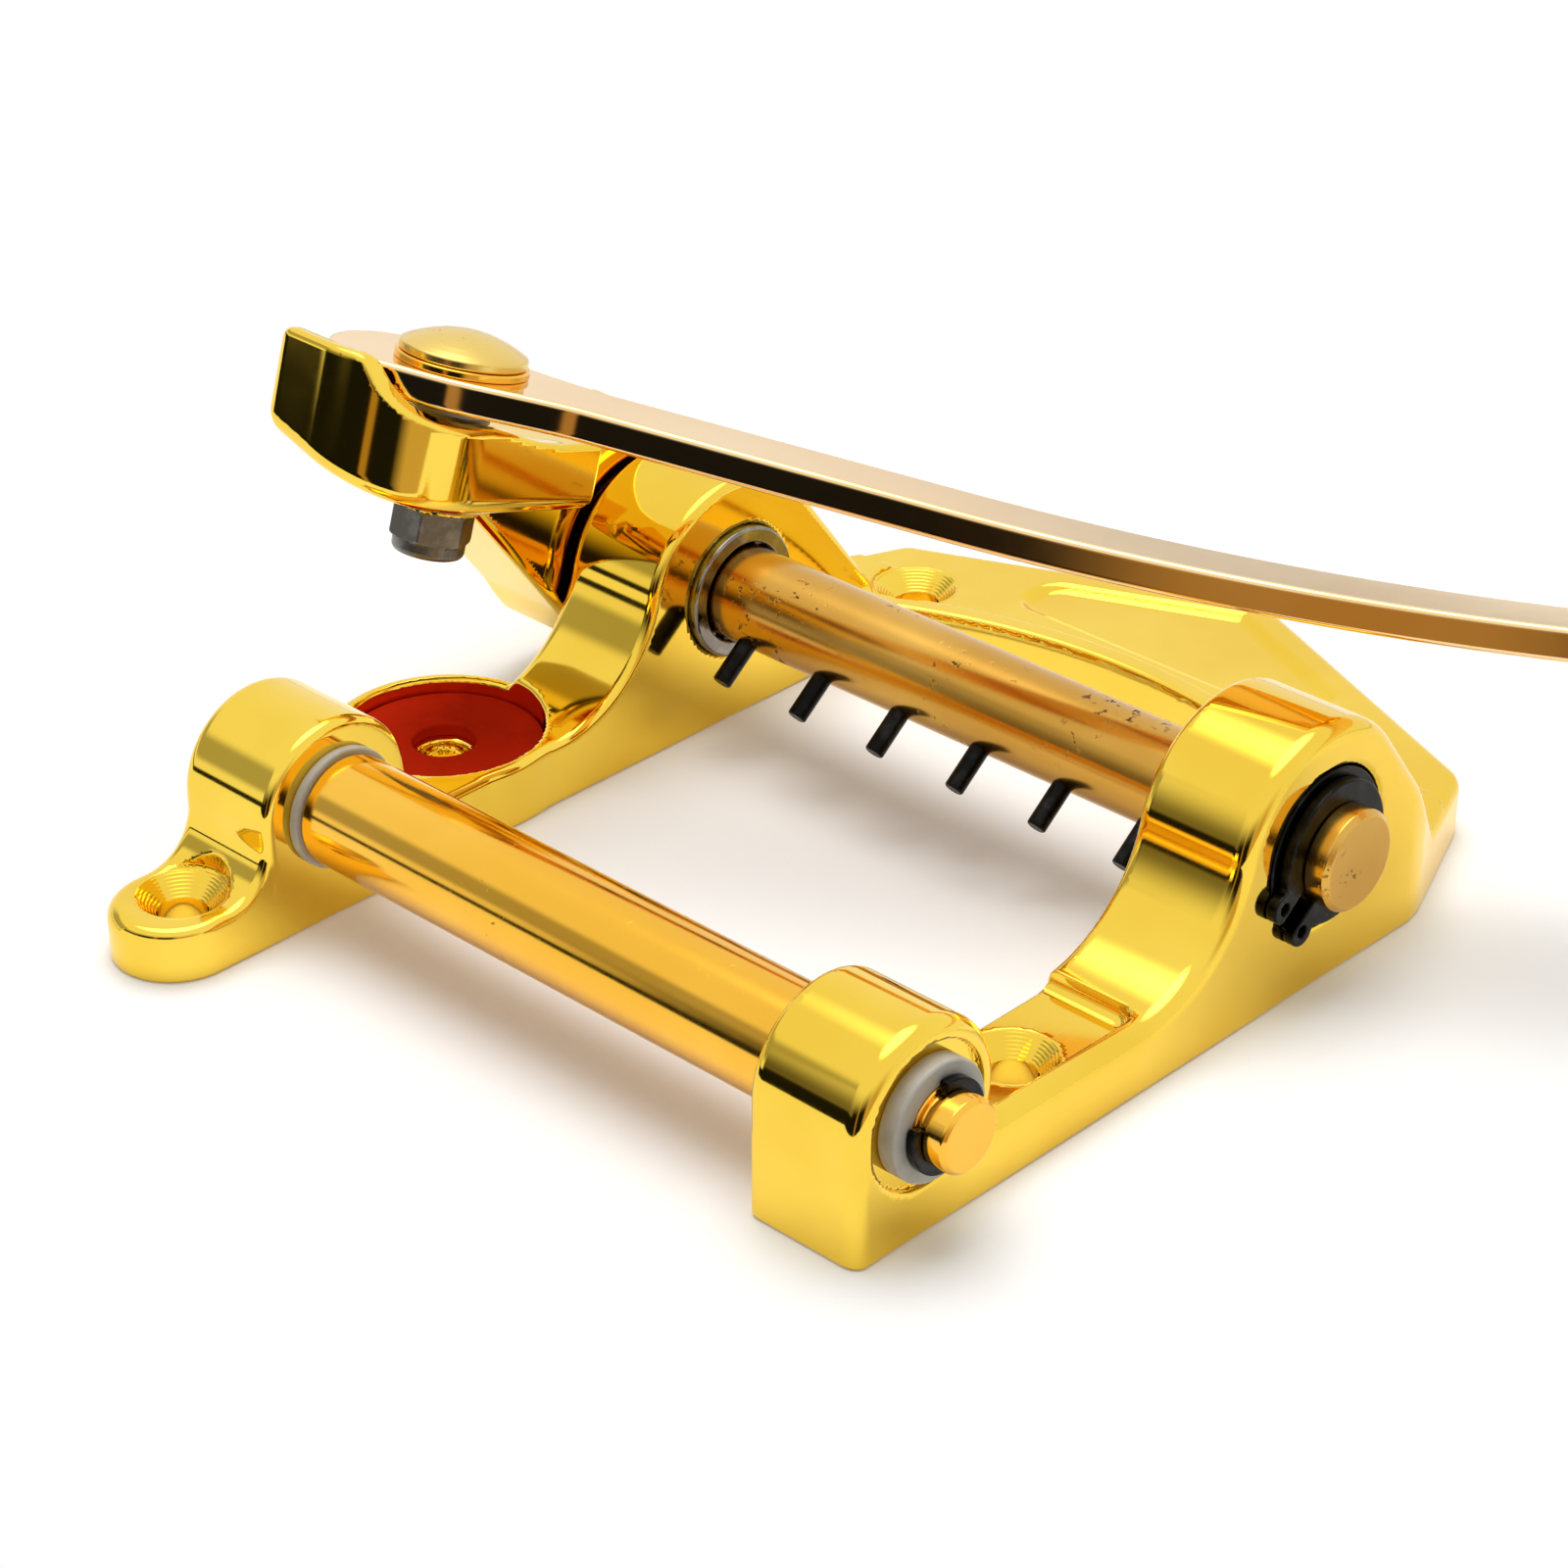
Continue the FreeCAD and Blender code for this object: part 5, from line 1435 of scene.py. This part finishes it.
@dataclass
class Studio:
    """White table, pale sky with a lamp patch and a dark room low in front, and the camera.

    Lengths are in metres. In the sky, turns are in degrees from straight in front, positive to the right,
    and heights are the upward part of a direction. A span of either is where a soft edge starts and ends.
    """

    target: Triple = (-0.0175, -0.0324, 0.0)
    distance: float = 0.41033
    azimuth: float = math.radians(43.75)
    elevation: float = math.radians(29.87)
    roll: float = math.radians(-0.08)
    lens: float = 93.83
    sensor: float = 36.0
    clips: Span = (0.01, 20.0)
    table: float = 0.45
    table_points: int = 96
    table_front: float = -0.16
    table_slant: float = 0.45
    table_bend: float = 0.05
    table_tones: Span = (0.92, 0.90)
    table_grain: float = 30.0
    table_glow: float = 0.13
    room_left: Span = (-39, -37)
    room_sides: tuple[Span, Span] = ((-100, -80), (75, 100))
    room_top: Span = (0.12, 0.56)
    gap_spans: tuple[Span, Span] = ((0.10, 0.22), (0.44, 0.56))
    gap_share: float = 0.55
    strip_top: Span = (0.0, 0.03)
    night_top: Span = (0.06, 0.11)
    night_end: Span = (-6, 0)
    tone_turns: Span = (-90.0, 200.0)
    rear_top: Span = (-0.05, -0.01)
    rear_share: float = 0.34
    lamp: Triple = (-0.15, 0.12, 0.981)
    lamp_edge: Span = (29, 16)
    sky_level: float = 0.32
    lamp_level: float = 4.7
    lamp_hidden: float = 2.3

    def camera(self) -> None:
        """The camera at the photograph's place."""
        out, up = math.cos(self.elevation), math.sin(self.elevation)
        back = Vector((math.sin(self.azimuth) * out, -math.cos(self.azimuth) * out, up))
        right = Vector((math.cos(self.azimuth), math.sin(self.azimuth), 0.0))
        turn = Matrix((right, back.cross(right), back)).transposed().to_4x4()
        data = bpy.data.cameras.new("camera")
        data.sensor_width = self.sensor
        data.lens = self.lens
        data.clip_start, data.clip_end = self.clips
        camera = bpy.data.objects.new("camera", data)
        camera.matrix_world = (Matrix.Translation(Vector(self.target) + back * self.distance) @ turn
                               @ Matrix.Rotation(self.roll, 4, "Z"))
        bpy.context.scene.collection.objects.link(camera)
        bpy.context.scene.camera = camera

    def seen(self, sheet: NodeSheet) -> Wire:
        """1 for rays from the camera, from gloss and through glass."""
        rays = [sheet.add("ShaderNodeLightPath", {}, {}, name)
                for name in ("Is Camera Ray", "Is Glossy Ray", "Is Transmission Ray")]
        return rays[0].math("MAXIMUM", rays[1]).math("MAXIMUM", rays[2])

    def floor(self) -> None:
        """A pale table that glows a little where it is seen, and keeps the object's shadow."""
        mesh = bpy.data.meshes.new("table")
        angle = np.linspace(0, 2 * np.pi, self.table_points, endpoint=False)
        rim = np.stack([np.cos(angle), np.sin(angle), np.zeros(self.table_points)], 1) * self.table
        # the front edge runs slantwise, near on the right and farther off on the left
        front = self.table_front + self.table_slant * np.minimum(rim[:, 0], self.table_bend)
        rim[:, 1] = np.maximum(rim[:, 1], front)
        mesh.from_pydata(rim.tolist(), [], [list(range(self.table_points))])
        material = bpy.data.materials.new("table")
        material.use_nodes = True
        sheet = NodeSheet(material.node_tree)
        pale, dull = ((tone,) * 3 for tone in self.table_tones)
        tone = sheet.blend(sheet.noise(self.table_grain), pale, dull)
        matt = sheet.add("ShaderNodeBsdfDiffuse", {}, {"Color": tone})
        light = {"Color": (*WHITE, 1.0), "Strength": self.table_glow}
        glow = sheet.add("ShaderNodeEmission", {}, light)
        lit = sheet.add("ShaderNodeAddShader", {}, {0: matt, 1: glow})
        both = sheet.add("ShaderNodeMixShader", {}, {0: self.seen(sheet), 1: matt, 2: lit})
        sheet.add("ShaderNodeOutputMaterial", {}, {0: both})
        mesh.materials.append(material)
        table = bpy.data.objects.new("table", mesh)
        bpy.context.scene.collection.objects.link(table)

    def tones(self, sheet: NodeSheet, turn: Wire, z: Wire) -> Wire:
        """The room's tone by the turn: black, olive, black, a warm strip, black and peach.

        Args:
            sheet: the sky's sheet.
            turn: the direction's turn.
            z: its height.

        Returns:
            The tone, which is black near the floor as far as straight in front.
        """
        start, span = self.tone_turns
        stops = [(-90, BLACK), (-38, BLACK), (-34, OLIVE), (-16, OLIVE), (-6, BLACK), (15, BLACK),
                 (16.6, WARM), (21.4, WARM), (23.6, BLACK), (45, BLACK), (55, PEACH), (110, PEACH)]
        places = [((at - start) / span, colour) for at, colour in stops]
        tone = sheet.add("ShaderNodeValToRGB", {"stops": places}, {0: (turn - start) / span})
        night = (1.0 - z.between(*self.night_top)) * (1.0 - turn.between(*self.night_end))
        return sheet.blend(night, tone, BLACK)

    def sky(self) -> None:
        """A white sky with a soft lamp patch overhead, a little left and to the rear, and the room.

        The room fills the front up to its top. At the far left it is only a faint gap, over a strip along
        the floor. Behind, the sky is dimmer below the table. The camera itself sees plain white.
        """
        world = bpy.data.worlds.new("sky")
        bpy.context.scene.world = world
        world.use_nodes = True
        sheet = NodeSheet(world.node_tree)
        way = sheet.add("ShaderNodeTexCoord", {}, {}, "Generated")
        x, y, z = (sheet.add("ShaderNodeSeparateXYZ", {}, {0: way}, axis) for axis in "XYZ")
        turn = x.math("ARCTAN2", y * -1.0) * (180 / math.pi)
        left = turn.between(*self.room_left)
        start, stop = self.room_sides
        sides = (1.0 - turn.between(*stop)) * turn.between(*start)
        room = left * (1.0 - z.between(*self.room_top))
        low, high = self.gap_spans
        gap = z.between(*low) * (1.0 - z.between(*high)) * self.gap_share
        gap = gap + (1.0 - z.between(*self.strip_top))
        dim = (room + (1.0 - left) * gap) * sides
        colour = sheet.blend(dim, WHITE, self.tones(sheet, turn, z))
        rear = (1.0 - z.between(*self.rear_top)) * (1.0 - sides) * self.rear_share
        lamp = x * self.lamp[0] + y * self.lamp[1] + z * self.lamp[2]
        patch = lamp.between(*(math.cos(math.radians(angle)) for angle in self.lamp_edge))
        seen = self.seen(sheet)
        level = (1.0 - rear) * (seen * (1.0 - self.sky_level) + self.sky_level)
        level = level + patch * (self.lamp_level - seen * self.lamp_hidden)
        camera = sheet.add("ShaderNodeLightPath", {}, {}, "Is Camera Ray")
        level = level + camera * (1.0 - level)
        colour = sheet.blend(camera, colour, WHITE)
        glow = sheet.add("ShaderNodeBackground", {}, {"Color": colour, "Strength": level})
        sheet.add("ShaderNodeOutputWorld", {}, {0: glow})

    def build(self) -> None:
        """Sets up the view, the table and the light."""
        bpy.context.scene.view_settings.view_transform = "Standard"
        self.camera()
        self.floor()
        self.sky()


def main() -> None:
    """Builds the studio and each sub-assembly."""
    logging.basicConfig(level=logging.INFO, format="%(message)s")
    for assembly in (Studio(), Casting(), ArmBracket(), TremoloArm(), BoltStack(), StringShaft(),
                     TensionBar(), Bearings()):
        assembly.build()


if __name__ == "__main__":
    main()
